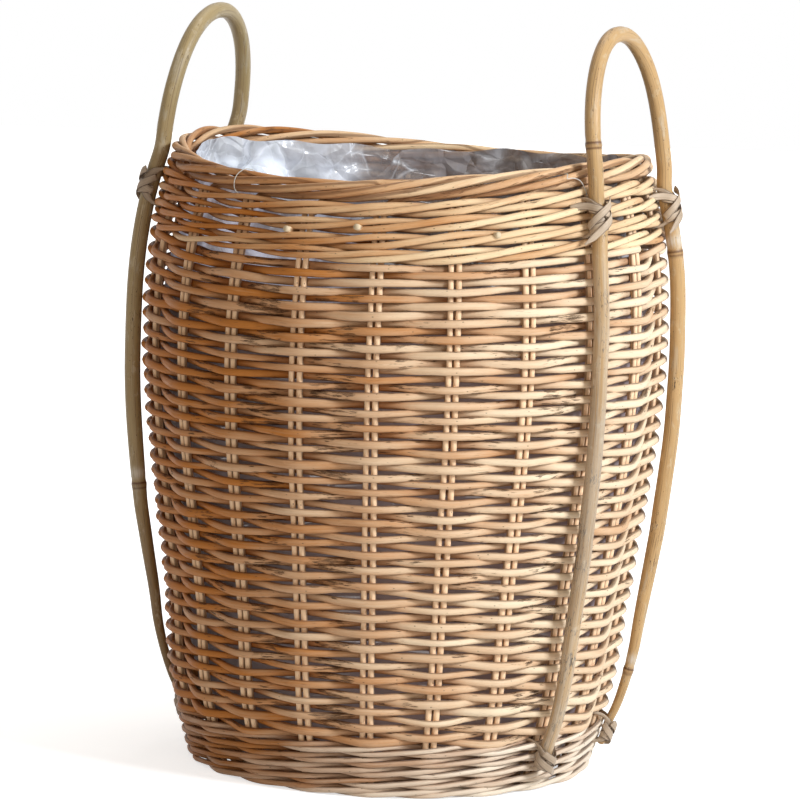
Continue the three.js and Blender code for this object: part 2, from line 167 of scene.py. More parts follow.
def placed(name, data):
    """A new object at the origin, in the scene."""
    made = bpy.data.objects.new(name, data)
    bpy.context.scene.collection.objects.link(made)
    return made


def rod(points, outward, radius, tone=0.5, scuff=0.0, wide=1.0, thick=1.0, shade_and_ring=0.0):
    """One strand: its line, the way its face looks, its radius and what its finish needs."""
    n = len(points)
    full = lambda value: np.broadcast_to(np.asarray(value, float), (n,)).copy()
    return dict(points=np.asarray(points, float), outward=np.asarray(outward, float), radius=full(radius),
                tone=full(tone), scuff=full(scuff), wide=full(wide), thick=full(thick), shade_and_ring=full(shade_and_ring))


def level_rod(points, *values):
    """A rod whose face looks up."""
    return rod(points, np.tile(UPWARDS, (len(points), 1)), *values)


def round_ends(strand, end_share=ROUND_END):
    """Closes a rod's two ends with one more, smaller ring just past each."""
    for end, inner in ((0, 1), (-1, -2)):
        p, r = strand["points"], strand["radius"]
        way = p[end] - p[inner]
        way = way / max(np.linalg.norm(way), 1e-6)
        tip = p[end] + way * r[end] * END_REACH
        changed = {"points": tip, "radius": r[end] * end_share}
        for key, values in strand.items():
            value = changed.get(key, values[end])
            strand[key] = np.insert(values, 0 if end == 0 else len(values), value, axis=0)
    return strand


def sweep(name, strands, sides, material, slot, *nodes):
    """Sweeps every strand of a piece along its line and keeps the finish's values on its points."""
    line = bpy.data.curves.new(name, "CURVE")
    line.dimensions = "3D"
    line.fill_mode = "FULL"
    line.bevel_depth = MM
    line.bevel_resolution = (sides - 4) // 2
    for s in strands:
        spline = line.splines.new("POLY")
        spline.points.add(len(s["points"]) - 1)
        spline.points.foreach_set("co", np.c_[s["points"] * MM, np.ones(len(s["points"]))].ravel())
        spline.points.foreach_set("radius", s["radius"])
    holder = placed(name + "_line", line)
    mesh = bpy.data.meshes.new_from_object(holder.evaluated_get(bpy.context.evaluated_depsgraph_get()))
    bpy.data.objects.remove(holder)
    bpy.data.curves.remove(line)
    mesh.name = name

    rings = sum(len(s["points"]) for s in strands)
    if len(mesh.vertices) != rings * sides:
        raise ValueError(f"{name}: {len(mesh.vertices)} points for {rings} rings of {sides}")
    gather = lambda key: np.concatenate([s[key] for s in strands])
    centre, radius = gather("points"), gather("radius")
    heading = np.concatenate([np.gradient(s["points"], axis=0) for s in strands])
    heading /= np.linalg.norm(heading, axis=1)[:, None] + 1e-9
    face = gather("outward")
    face -= heading * (face * heading).sum(1)[:, None]
    face /= np.linalg.norm(face, axis=1)[:, None] + 1e-9
    across = np.cross(heading, face)
    place = np.zeros(len(mesh.vertices) * 3, np.float32)
    mesh.vertices.foreach_get("co", place)
    away = place.reshape(rings, sides, 3) / MM - centre[:, None]
    up = (away * face[:, None]).sum(2)
    side = (away * across[:, None]).sum(2)
    size = radius[:, None] / (np.sqrt(up**2 + side**2) + 1e-9)
    up, side = up * size * gather("thick")[:, None], side * size * gather("wide")[:, None]
    moved = centre[:, None] + face[:, None] * up[..., None] + across[:, None] * side[..., None]
    mesh.vertices.foreach_set("co", (moved * MM).astype(np.float32).ravel())

    run = np.concatenate([run_along(s["points"]) + GRAIN_SHIFT * i for i, s in enumerate(strands)])
    grain = np.stack([np.repeat(run[:, None], sides, 1), side, up], -1)
    finish = np.stack([gather("tone"), gather("scuff"), gather("shade_and_ring")], -1)
    finish = np.repeat(finish[:, None], sides, 1)
    for key, value in (("grain", grain), ("finish", finish)):
        layer = mesh.attributes.new(key, "FLOAT_VECTOR", "POINT")
        layer.data.foreach_set("vector", value.astype(np.float32).ravel())
    tube = bmesh.new()
    tube.from_mesh(mesh)
    bmesh.ops.holes_fill(tube, edges=[edge for edge in tube.edges if edge.is_boundary], sides=sides)
    bmesh.ops.recalc_face_normals(tube, faces=tube.faces)
    tube.to_mesh(mesh)
    tube.free()
    mesh.materials.clear()
    mesh.materials.append(material)
    mesh.shade_smooth()
    piece = placed(name, mesh)
    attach(piece, "root")
    if nodes:
        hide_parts(*nodes)


# Nodes for the finishes
COLOUR = "NodeSocketColor"
NUMBER = "NodeSocketFloat"
PLACE = "NodeSocketVector"


def feed(tree, socket, value):
    """Links an input to another node's output, or gives it a constant."""
    if isinstance(value, bpy.types.NodeSocket):
        tree.links.new(value, socket)
    else:
        socket.default_value = value


def add_node(tree, kind, **settings):
    """A shader node. A setting is a property of the node or an input by name, and i0 is its first input."""
    made = tree.nodes.new("ShaderNode" + kind)
    for key, value in settings.items():
        if hasattr(made, key):
            setattr(made, key, value)
        elif key[1:].isdigit():
            feed(tree, made.inputs[int(key[1:])], value)
        else:
            feed(tree, made.inputs[key], value)
    return made


def maths(tree, operation, *values, clamp=False):
    made = add_node(tree, "Math", operation=operation, use_clamp=clamp)
    for socket, value in zip(made.inputs, values):
        feed(tree, socket, value)
    return made.outputs[0]


def plus(tree, first, second, clamp=False):
    return maths(tree, "ADD", first, second, clamp=clamp)


def minus(tree, first, second):
    return maths(tree, "SUBTRACT", first, second)


def times(tree, first, second, clamp=False):
    return maths(tree, "MULTIPLY", first, second, clamp=clamp)


def times_plus(tree, value, factor, added, clamp=False):
    return maths(tree, "MULTIPLY_ADD", value, factor, added, clamp=clamp)


def between(tree, value, low, high):
    """Nought below low, one above high, and a soft step from one to the other."""
    made = add_node(tree, "MapRange", interpolation_type="SMOOTHSTEP", clamp=True, i0=value, i1=low, i2=high)
    return made.outputs[0]


def below(tree, value, low, high):
    """One below low, nought above high."""
    return minus(tree, 1.0, between(tree, value, low, high))


def scaled(tree, vector, scale):
    return add_node(tree, "VectorMath", operation="MULTIPLY", i0=vector, i1=scale).outputs[0]


def numbers_of(tree, vector):
    """A vector's or a colour's three numbers."""
    return add_node(tree, "SeparateXYZ", Vector=vector).outputs


def blend(tree, share, first, second):
    return add_node(tree, "Mix", data_type="RGBA", i0=share, i6=first, i7=second).outputs[2]


def tinted(tree, share, strength, colour, tint):
    """The colour, with a tint laid over it where the share is high."""
    return blend(tree, times(tree, share, strength), colour, (*tint, 1))


def noise_at(tree, vector, stretch, detail=3.0, roughness=0.55, distortion=0.0):
    """Noise between 0 and 1 on a stretched vector."""
    made = add_node(tree, "TexNoise", Vector=scaled(tree, vector, stretch), Scale=1.0, Detail=detail,
                    Roughness=roughness, Distortion=distortion)
    return made.outputs[0]


def stored(tree, name):
    """A piece's grain, which is millimetres along, aside and up, or its finish of three numbers."""
    return add_node(tree, "Attribute", attribute_name=name).outputs["Vector"]


def edge_of(tree, grain, inner, outer):
    """One where a strand's skin is far to its side."""
    return between(tree, maths(tree, "ABSOLUTE", numbers_of(tree, grain)[1]), inner, outer)


def new_group(name, inputs, outputs):
    tree = bpy.data.node_groups.new(name, "ShaderNodeTree")
    for label, kind, value in inputs:
        tree.interface.new_socket(label, in_out="INPUT", socket_type=kind).default_value = value
    for label, kind in outputs:
        tree.interface.new_socket(label, in_out="OUTPUT", socket_type=kind)
    return tree, tree.nodes.new("NodeGroupInput").outputs, tree.nodes.new("NodeGroupOutput").inputs


def new_material(name):
    material = bpy.data.materials.new(name)
    material.use_nodes = True
    tree = material.node_tree
    tree.nodes.clear()
    body = add_node(tree, "BsdfPrincipled")
    end = add_node(tree, "OutputMaterial", Surface=body.outputs[0])
    return material, tree, body, end


def raise_surface(tree, body, height, depth, strength=1.0):
    """Bumps on a surface, their depth in metres."""
    bump = add_node(tree, "Bump", Height=height, Distance=depth, Strength=strength)
    tree.links.new(bump.outputs[0], body.inputs["Normal"])


# Finishes, some with painted shade and painted light
SURFACE = [("Color", COLOUR), ("Roughness", NUMBER), ("Height", NUMBER)]
DARK_BARK_AND_EDGE_SHADE = (0.13, 0.05, 0.02)


def speck_group():
    """Specks scattered over a surface: a few of a pattern's cells have one in their middle."""
    tree, given, out = new_group(
        "scattered_specks",
        [("Place", PLACE, (0, 0, 0)), ("Seldom", NUMBER, 0.72), ("Often", NUMBER, 0.74),
         ("Core", NUMBER, 0.07), ("Rim", NUMBER, 0.15)],
        [("Specks", NUMBER)])
    cells = add_node(tree, "TexVoronoi", Vector=given["Place"], Scale=1.0, Randomness=1.0).outputs
    chosen = between(tree, numbers_of(tree, cells["Color"])[0], given["Seldom"], given["Often"])
    middle = below(tree, cells["Distance"], given["Core"], given["Rim"])
    tree.links.new(times(tree, chosen, middle), out["Specks"])
    return tree


def specks(tree, grain, stretch, seldom, often, core, rim):
    """Specks on a strand, as one number."""
    return add_node(tree, "Group", node_tree=SPECKS, Place=scaled(tree, grain, stretch), Seldom=seldom,
                    Often=often, Core=core, Rim=rim).outputs[0]


def bark_group():
    """Peeled willow: a tone for each rod, streaks along it, dark scuffs of bark, specks and pale cuts, with
    painted shade behind the stakes, under the border's roll and along each rod's edges.
    """
    tree, given, out = new_group(
        "willow_bark",
        [("Pale", COLOUR, (0.75, 0.5, 0.27, 1)), ("Honey", COLOUR, (0.5, 0.27, 0.11, 1)),
         ("Deep", COLOUR, (0.24, 0.1, 0.035, 1)), ("Scuffs", NUMBER, 1.0)],
        SURFACE)
    grain = stored(tree, "grain")
    tone, scuff, shade_and_ring = numbers_of(tree, stored(tree, "finish"))
    drift = noise_at(tree, grain, (0.014, 0.05, 0.05), 2.0)
    streak = noise_at(tree, grain, (0.035, 0.75, 0.75), 4.0, 0.6)
    fine = noise_at(tree, grain, (0.16, 3.2, 3.2), 3.0, 0.6)
    shade = times_plus(tree, drift, 0.9, minus(tree, tone, 0.45))
    shade = times_plus(tree, streak, 0.5, minus(tree, shade, 0.25))
    colour = blend(tree, times(tree, shade, 1.0, clamp=True), given["Pale"], given["Honey"])
    # Painted shade, in the shaded colour, where a rod passes behind the stakes or under the border's roll.
    painted_shade = times(tree, shade_and_ring, times_plus(tree, streak, 0.5, 0.6), clamp=True)
    colour = blend(tree, painted_shade, colour, given["Deep"])
    fibre = between(tree, fine, 0.62, 0.74)
    colour = tinted(tree, fibre, 0.28, colour, (0.3, 0.17, 0.08))

    hair = noise_at(tree, grain, (0.10, 5.0, 5.0), 5.0, 0.65, 0.8)
    patch = noise_at(tree, grain, (0.07, 0.45, 0.45), 2.5, 0.6)
    edge = edge_of(tree, grain, 0.8, 2.6)
    region = times_plus(tree, scuff, 0.32, times_plus(tree, edge, 0.1, patch))
    halo = between(tree, region, 0.70, 0.9)
    colour = tinted(tree, halo, 0.35, colour, (0.30, 0.12, 0.04))
    marked = times(tree, between(tree, region, 0.79, 0.83), between(tree, hair, 0.48, 0.51))
    marked = times(tree, marked, given["Scuffs"], clamp=True)
    colour = tinted(tree, marked, 0.92, colour, (0.035, 0.02, 0.012))
    dash = between(tree, noise_at(tree, grain, (0.09, 2.0, 2.0), 2.0, 0.5), 0.67, 0.73)
    colour = tinted(tree, dash, 0.65, colour, DARK_BARK_AND_EDGE_SHADE)
    speck = specks(tree, grain, (0.16, 0.3, 0.3), 0.72, 0.74, 0.07, 0.15)
    colour = tinted(tree, speck, 0.7, colour, (0.07, 0.04, 0.025))

    # Painted shade along each rod's two edges, where it meets its neighbours.
    aside = add_node(tree, "VectorMath", operation="NORMALIZE", i0=scaled(tree, grain, (0, 1, 1))).outputs[0]
    colour = tinted(tree, edge_of(tree, aside, 0.80, 1.0), 0.62, colour, DARK_BARK_AND_EDGE_SHADE)
    cut = between(tree, times(tree, tone, -1.0), 0.5, 0.9)
    colour = blend(tree, cut, colour, (0.66, 0.53, 0.36, 1))

    tree.links.new(colour, out["Color"])
    tree.links.new(times_plus(tree, streak, 0.22, times_plus(tree, marked, 0.25, 0.36)), out["Roughness"])
    height = times_plus(tree, fine, 0.5, times(tree, streak, 0.6))
    height = minus(tree, height, times(tree, speck, 0.5))
    height = minus(tree, height, times(tree, marked, 0.3))
    tree.links.new(height, out["Height"])
    return tree


def rattan_group():
    """Rattan: pale to brown along the leg, dark growth rings, stains and black specks."""
    tree, given, out = new_group(
        "rattan",
        [("Pale", COLOUR, (0.52, 0.325, 0.145, 1)), ("Brown", COLOUR, (0.27, 0.15, 0.058, 1))],
        SURFACE)
    grain = stored(tree, "grain")
    tone, stain, ring = numbers_of(tree, stored(tree, "finish"))
    drift = noise_at(tree, grain, (0.009, 0.1, 0.1))
    streak = noise_at(tree, grain, (0.014, 0.55, 0.55), 5.0, 0.65)
    fine = noise_at(tree, grain, (0.03, 2.4, 2.4))
    mottle = noise_at(tree, grain, (0.07, 0.16, 0.16), 4.0, 0.6, 0.4)
    mix = plus(tree, tone, times_plus(tree, drift, 0.6, -0.3))
    mix = times_plus(tree, streak, 0.3, minus(tree, mix, 0.15), clamp=True)
    colour = blend(tree, mix, given["Pale"], given["Brown"])
    colour = tinted(tree, between(tree, streak, 0.55, 0.7), 0.3, colour, (0.36, 0.24, 0.12))
    colour = tinted(tree, between(tree, mottle, 0.56, 0.68), 0.35, colour, (0.62, 0.52, 0.38))
    colour = tinted(tree, between(tree, fine, 0.58, 0.72), 0.22, colour, (0.22, 0.14, 0.07))
    bleached = between(tree, noise_at(tree, grain, (0.03, 0.12, 0.12), 4.0, 0.6, 0.6), 0.58, 0.68)
    colour = tinted(tree, bleached, 0.3, colour, (0.50, 0.46, 0.38))

    blotch = noise_at(tree, grain, (0.2, 0.9, 0.9), 5.0, 0.7, 0.5)
    where = noise_at(tree, grain, (0.035, 0.1, 0.1), 2.0)
    level = times_plus(tree, where, 0.5, times_plus(tree, stain, 0.2, blotch))
    dark = between(tree, level, 0.93, 0.98)
    colour = tinted(tree, dark, 0.88, colour, (0.04, 0.026, 0.018))
    line = between(tree, noise_at(tree, grain, (0.012, 2.6, 2.6), 2.0), 0.6, 0.66)
    colour = tinted(tree, line, 0.75, colour, (0.12, 0.07, 0.04))
    dot = specks(tree, grain, (0.22, 0.4, 0.4), 0.75, 0.77, 0.09, 0.18)
    colour = tinted(tree, dot, 0.75, colour, (0.1, 0.055, 0.03))
    peeled = times(tree, times(tree, ring, -1.0, clamp=True), between(tree, streak, 0.3, 0.6))
    colour = blend(tree, peeled, colour, (0.60, 0.53, 0.44, 1))
    colour = blend(tree, times(tree, ring, 0.9, clamp=True), colour, (0.10, 0.035, 0.014, 1))

    tree.links.new(colour, out["Color"])
    tree.links.new(times_plus(tree, streak, 0.25, times_plus(tree, dark, 0.25, 0.24)), out["Roughness"])
    tree.links.new(times_plus(tree, fine, 0.35, times(tree, streak, 0.8)), out["Height"])
    return tree


def from_group(name, group, sheen, depth, **values):
    """A material whose surface is a group with its own values."""
    material, tree, body, _ = new_material(name)
    surface = add_node(tree, "Group", node_tree=group, **values)
    tree.links.new(surface.outputs["Color"], body.inputs["Base Color"])
    tree.links.new(surface.outputs["Roughness"], body.inputs["Roughness"])
    body.inputs["Specular IOR Level"].default_value = sheen
    raise_surface(tree, body, surface.outputs["Height"], depth)
    return material


# The third colour is the painted shade laid where rods pass behind the stakes and under the border's roll.
def willow(name, pale, honey, deep, scuffs=1.0):
    return from_group(name, BARK, 0.12, 0.0003,
                      Pale=(*pale, 1), Honey=(*honey, 1), Deep=(*deep, 1), Scuffs=scuffs)


def rattan(name, pale, brown):
    return from_group(name, RATTAN, 0.3, 0.00035, Pale=(*pale, 1), Brown=(*brown, 1))


def strap_skin():
    """Flat split cane: grey beige, with fibres along it and darker edges."""
    material, tree, body, _ = new_material("split_cane")
    grain = stored(tree, "grain")
    tone = numbers_of(tree, stored(tree, "finish"))[0]
    streak = noise_at(tree, grain, (0.04, 1.3, 1.3), 5.0, 0.65)
    drift = noise_at(tree, grain, (0.05, 0.1, 0.1))
    mix = plus(tree, times_plus(tree, streak, 0.8, -0.4), tone)
    mix = times_plus(tree, drift, 0.6, minus(tree, mix, 0.3), clamp=True)
    colour = blend(tree, mix, (0.60, 0.46, 0.33, 1), (0.22, 0.15, 0.095, 1))
    colour = tinted(tree, between(tree, streak, 0.62, 0.72), 0.6, colour, (0.1, 0.065, 0.04))
    colour = tinted(tree, edge_of(tree, grain, 2.2, 2.7), 0.8, colour, (0.085, 0.05, 0.03))
    tree.links.new(colour, body.inputs["Base Color"])
    tree.links.new(times_plus(tree, streak, 0.3, 0.35), body.inputs["Roughness"])
    raise_surface(tree, body, streak, 0.0005)
    return material


def thread_skin():
    """White cotton: two shades that wind along the thread."""
    material, tree, body, _ = new_material("cotton_thread")
    grain = scaled(tree, stored(tree, "grain"), (1.6, 2.0, 2.0))
    ply = add_node(tree, "TexWave", Vector=grain, Scale=1.0, Distortion=1.5)
    colour = blend(tree, ply.outputs["Fac"], (0.85, 0.82, 0.76, 1), (0.6, 0.56, 0.5, 1))
    tree.links.new(colour, body.inputs["Base Color"])
    body.inputs["Roughness"].default_value = 0.8
    raise_surface(tree, body, ply.outputs["Fac"], 0.0001)
    return material


def film_skin():
    """Clear crumpled film: flat facets between folds, with painted glints on the folds, a painted white
    reflection on the left, a painted glow, each facet's own painted reflection and painted shade behind the
    weave.
    """
    material, tree, body, _ = new_material("clear_film")
    black = (0.0, 0.0, 0.0, 1)
    place = add_node(tree, "TexCoord").outputs["Object"]
    along, _, level = numbers_of(tree, place)
    high = between(tree, level, 0.385, 0.415)
    # The film's stored values are painted light: the right side with fewer glints, a painted glow and a
    # painted white reflection.
    calm, glow, white = numbers_of(tree, stored(tree, "finish"))
    stray = add_node(tree, "TexNoise", Vector=scaled(tree, place, (16, 16, 16)), Scale=1.0, Detail=3.0)
    warped = add_node(tree, "VectorMath", operation="MULTIPLY_ADD", i0=stray.outputs["Color"],
                      i1=(0.04, 0.04, 0.04), i2=place).outputs[0]
    large, little = (scaled(tree, warped, size) for size in ((15, 15, 20), (40, 40, 52)))
    ridge, fine_ridge = (
        add_node(tree, "TexVoronoi", feature="DISTANCE_TO_EDGE", Vector=at, Scale=1.0).outputs["Distance"]
        for at in (large, little))
    facet = numbers_of(tree, add_node(tree, "TexVoronoi", Vector=large, Scale=1.0).outputs["Color"])[0]
    haze = noise_at(tree, place, (26, 26, 18), 5.0, 0.62, 0.8)

    # Painted glints along the folds, fewer on the right.
    fold_glint = times(tree, below(tree, ridge, 0.0, 0.06), 0.7)
    fold_glint = times_plus(tree, below(tree, fine_ridge, 0.0, 0.07), 0.3, fold_glint)
    fold_glint = times(tree, fold_glint, times_plus(tree, calm, -0.6, 1.0))
    fold_glint = times(tree, times(tree, fold_glint, between(tree, haze, 0.44, 0.62)), high, clamp=True)
    # How opaque the film is: its own milkiness, raised by the painted reflection on the left, the glints and
    # each facet's painted reflection.
    milk_and_sheen = times_plus(tree, facet, 0.35, 0.4)
    milk_and_sheen = times_plus(tree, between(tree, haze, 0.5, 0.75), 0.15, milk_and_sheen)
    milk_and_sheen = times_plus(tree, white, times_plus(tree, haze, 0.6, 0.25), milk_and_sheen)
    milk_and_sheen = times_plus(tree, calm, 0.2, times_plus(tree, fold_glint, 0.75, milk_and_sheen))
    milk_and_sheen = times_plus(tree, high, -0.35, plus(tree, milk_and_sheen, 0.35), clamp=True)
    backfacing = add_node(tree, "NewGeometry").outputs["Backfacing"]
    within = times(tree, backfacing, minus(tree, 1.0, high))
    milk_and_sheen = times(tree, milk_and_sheen, times_plus(tree, within, -0.4, 1.0))
    tree.links.new(milk_and_sheen, body.inputs["Alpha"])

    # Painted shade: the film's outer face behind the weave is dark and its inner face pale; above the weave
    # each facet gets its own painted reflection.
    upper = blend(tree, facet, (0.31, 0.27, 0.26, 1), (0.42, 0.40, 0.42, 1))
    lower = blend(tree, within, (0.30, 0.25, 0.27, 1), (0.62, 0.62, 0.65, 1))
    colour = blend(tree, high, lower, upper)
    # Painted reflection: bluish white on the left, with white glints on the folds.
    pale = times(tree, white, times_plus(tree, facet, 0.8, 0.4), clamp=True)
    colour = blend(tree, pale, colour, (0.86, 0.91, 0.97, 1))
    colour = blend(tree, fold_glint, colour, (0.93, 0.95, 1.0, 1))
    tree.links.new(colour, body.inputs["Base Color"])

    # Painted glow: the film lights itself on the left above the weave, and faintly through the gaps of the
    # weave.
    glow = times(tree, glow, times_plus(tree, between(tree, haze, 0.42, 0.62), 1.1, 0.5))
    sunny = times_plus(tree, between(tree, along, -0.16, 0.0), 0.8, 0.2)
    sunny = times(tree, sunny, minus(tree, 1.0, within))
    dusk = blend(tree, sunny, black, (0.12, 0.078, 0.07, 1))
    dusk = blend(tree, high, dusk, black)
    tree.links.new(blend(tree, glow, dusk, (0.74, 0.8, 1.0, 1)), body.inputs["Emission Color"])
    body.inputs["Emission Strength"].default_value = 0.4
    tree.links.new(times_plus(tree, high, -0.45, 0.6), body.inputs["Roughness"])
    body.inputs["IOR"].default_value = 1.5
    height = times_plus(tree, fine_ridge, 0.3, ridge)
    raise_surface(tree, body, times(tree, height, high), 0.02, 0.8)
    return material


SPECKS = speck_group()
BARK = bark_group()
RATTAN = rattan_group()
stake_willow = willow("stake_willow", (1.0, 0.71, 0.46), (0.66, 0.36, 0.18), (0.42, 0.19, 0.07), 0.3)
weave_willow = willow("weave_willow", (0.85, 0.68, 0.48), (0.48, 0.178, 0.036), (0.31, 0.10, 0.022))
wale_willow = willow("wale_willow", (0.84, 0.64, 0.40), (0.48, 0.17, 0.030), (0.26, 0.075, 0.014), 0.8)
foot_willow = willow("foot_willow", (0.82, 0.70, 0.56), (0.38, 0.15, 0.04), (0.22, 0.07, 0.016))
border_willow = willow("border_willow", (0.84, 0.62, 0.39), (0.46, 0.18, 0.048), (0.26, 0.08, 0.018), 0.7)
base_willow = willow("base_willow", (0.74, 0.49, 0.25), (0.48, 0.25, 0.10), (0.28, 0.12, 0.045), 0.5)
handle_canes = {"right": rattan("straw_cane", (0.52, 0.325, 0.145), (0.27, 0.15, 0.058)),
                "left": rattan("olive_cane", (0.44, 0.34, 0.175), (0.23, 0.14, 0.056))}
strap_cane = strap_skin()
liner_film = film_skin()
white_thread = thread_skin()


# Stakes
STAKE_FOOT = 4.6
STAKE_TOP = 463
STAKE_RINGS = 36


def stakes():
    for pair in range(PAIRS):
        for side, word in ((-1, "left"), (1, "right")):
            height = np.linspace(STAKE_FOOT, STAKE_TOP, STAKE_RINGS)
            azimuth = pair_azimuth(pair) + side * STAKE_SPACING / 2 / wall_radius(height)
            azimuth = azimuth + wander(STAKE_RINGS, 0.25, 5) / wall_radius(height)
            points, outward = on_wall(azimuth, height, wander(STAKE_RINGS, 0.12, 6))
            taper = STAKE_RADIUS * (np.linspace(1.04, 0.94, STAKE_RINGS) + chance.normal(0, 0.05))
            strand = rod(points, outward, taper, chance.uniform(-0.2, 0.15), 0.15)
            node = f"stake_{pair + 1:02d}_{word}"
            sweep(f"upright_{pair + 1:02d}_{word}", [round_ends(strand)], 8, stake_willow, "stake_wood", node)


# The randed side
WEAVE_PASSES = SIDE_ROWS * PAIRS
WEAVE_REACH = 5.0
LONGEST_LAST_ROD = 26
HALF_ROD_PASSES = (7, 12)
END_GAP = 0.03
RING_PLACES = np.array([-0.5, -0.37, -0.25, -0.15, -0.08, 0, 0.08, 0.15, 0.25, 0.37])
CLOSING_RINGS = np.array([0.36, 0.24, 0.15, END_GAP])
ROD_BUTT = (3.1, 3.65)
ROD_TIP = (2.45, 2.85)
ROW_WAVE = 1.5
SCUFFED_GAPS = {-4: 0.6, -3: 0.85, -2: 0.9, -1: 1.0, 0: 0.6, 1: 0.65, 2: 0.8, 3: 0.5}


def weave_height(t):
    """The spiral's level: it stays level round the basket and climbs one row in the last gap."""
    level = np.floor(t / PAIRS)
    return FIRST_ROW + ROW_PITCH * (level + smooth(PAIRS - 1, PAIRS, t - level * PAIRS))


def swing(t):
    """In front of the stakes at an even pass and behind them at an odd one, crossing between."""
    near = np.floor(t)
    run = np.clip((t - near - 0.08) / 0.84, 0, 1)
    side = 1 - 2 * (near % 2)
    return side * (0.2 * np.cos(np.pi * run) + 0.8 * (1 - 2 * run))


def gap_scuffs():
    """How scuffed the rods are in each gap between two pairs."""
    strength = chance.uniform(0.2, 0.7, PAIRS)
    for gap, value in SCUFFED_GAPS.items():
        strength[gap % PAIRS] = value
    return strength


def per_pass(low, high, count, place):
    """One random value for each pass, read at the points' places."""
    return chance.uniform(low, high, count)[np.clip(place.astype(int), 0, count - 1)]


def weave_rod(start, end, strength):
    """One rod of the spiral, from its butt behind one pair to its tip behind another."""
    t = (np.arange(start, end)[:, None] + RING_PLACES).ravel()
    t = t[(t > start + END_GAP) & (t < end - END_GAP)]
    t = np.unique(np.round(np.r_[start + END_GAP, t, end - CLOSING_RINGS], 4))
    passes = np.arange(end - start + 2)
    lift, push = chance.normal(0, 0.72, len(passes)), chance.normal(0, 0.3, len(passes))
    azimuth, side = pair_azimuth(SEAM_PAIR + t), swing(t)
    height = weave_height(t) + np.interp(t - start, passes, lift)
    height = height + wander(len(t), 0.4, 4) * (1 - np.abs(side))
    inner_rows = smooth(FIRST_ROW, FIRST_ROW + 60, height) * smooth(LAST_ROW, LAST_ROW - 60, height)
    height = height + ROW_WAVE * inner_rows * np.cos(3 * azimuth)
    points, outward = on_wall(azimuth, height, side * (WEAVE_REACH + np.interp(t - start, passes, push)))

    butt, tip = chance.uniform(*ROD_BUTT), chance.uniform(*ROD_TIP)
    share = (t - start) / (end - start)
    radius = (butt + (tip - butt) * share**0.8) * (1 + wander(len(t), 0.04, 7))
    left = left_tone_and_shade(azimuth)
    # Browner to the left: partly the rods' own tone, partly painted shade on the side away from the key lamp.
    tone = chance.normal(0.12, 0.15) + 0.98 * left**1.45
    middle = 1 - np.abs(t - np.floor(t) - 0.5) * 2
    luck = per_pass(0.0, 1.0, end - start + 1, t - start)
    gap = np.floor(SEAM_PAIR + t).astype(int) % PAIRS
    scuff = strength[gap] * smooth(0.0, 0.6, middle) * smooth(0.3, 0.95, luck)
    # Painted shade: darker and browner where a rod goes behind the stakes, its strength drawn for each pass,
    # with more painted shade on the left side.
    shade_strength = per_pass(0.1, 0.75, end - start + 1, np.round(t - start))
    shade_and_ring = smooth(0.3, -0.8, side) * shade_strength * (0.75 + 0.6 * left) + 0.2 * left**2
    wide = 1.0 + 0.07 * np.abs(side)
    return round_ends(rod(points, outward, radius, tone, scuff, wide=wide, thick=0.94, shade_and_ring=shade_and_ring))


def randed_side():
    """Rods laid end to end along one spiral, each tip and butt left behind a pair of stakes."""
    joints = [0]
    while joints[-1] < WEAVE_PASSES - LONGEST_LAST_ROD:
        odd = 1 if joints[-1] == 0 else 0
        joints.append(joints[-1] + int(chance.integers(*HALF_ROD_PASSES)) * 2 + odd)
    joints.append(WEAVE_PASSES - 1)
    strength = gap_scuffs()
    halves = {"low": [], "high": []}
    for start, end in zip(joints[:-1], joints[1:]):
        half = "low" if start < WEAVE_PASSES / 2 else "high"
        halves[half].append(weave_rod(start, end, strength))
    for half, strands in halves.items():
        sweep(f"randed_side_{half}", strands, 10, weave_willow, "rod_wood", "side_weave")


# Wales
STROKE_PLACES = [0, 0.5, 1, 1.5, 2, 2.5, 3]
STROKE_REACH = [-5.0, 0, 5.3, 5.6, 5.3, 0, -5.0]
STROKE_RISE = [0, -1.0, -0.97, 0, 0.97, 1.0, 0]
RIM_HOLES_AT = math.radians(-40)
RIM_THIN_AT = math.radians(-46)
STUB_RADIUS = 2.45
STUB_RINGS = 8


def round_curve(values, at):
    """A smooth closed curve through a stroke's values, the last place being the first again."""
    span = STROKE_PLACES[-1]
    places = np.r_[STROKE_PLACES[-2] - span, STROKE_PLACES, STROKE_PLACES[1] + span]
    values = np.r_[values[-2], values, values[1]]
    slope = np.gradient(values, places)
    at = np.mod(at, span)
    i = np.clip(np.searchsorted(places, at, side="right") - 1, 0, len(places) - 2)
    gap = places[i + 1] - places[i]
    return curve_between((at - places[i]) / gap, gap, values[i], values[i + 1], slope[i], slope[i + 1])


def cut_stub(degrees, height, lean):
    """A rod's cut butt, poking out between the strokes."""
    azimuth = math.radians(degrees) + lean * np.linspace(0.02, 0, STUB_RINGS)
    points, _ = on_wall(azimuth, height, np.linspace(-3, 9.8, STUB_RINGS))
    tone = np.where(np.arange(STUB_RINGS) < STUB_RINGS - 2, 0.5, -1)
    return round_ends(level_rod(points, STUB_RADIUS, tone), 0.93)


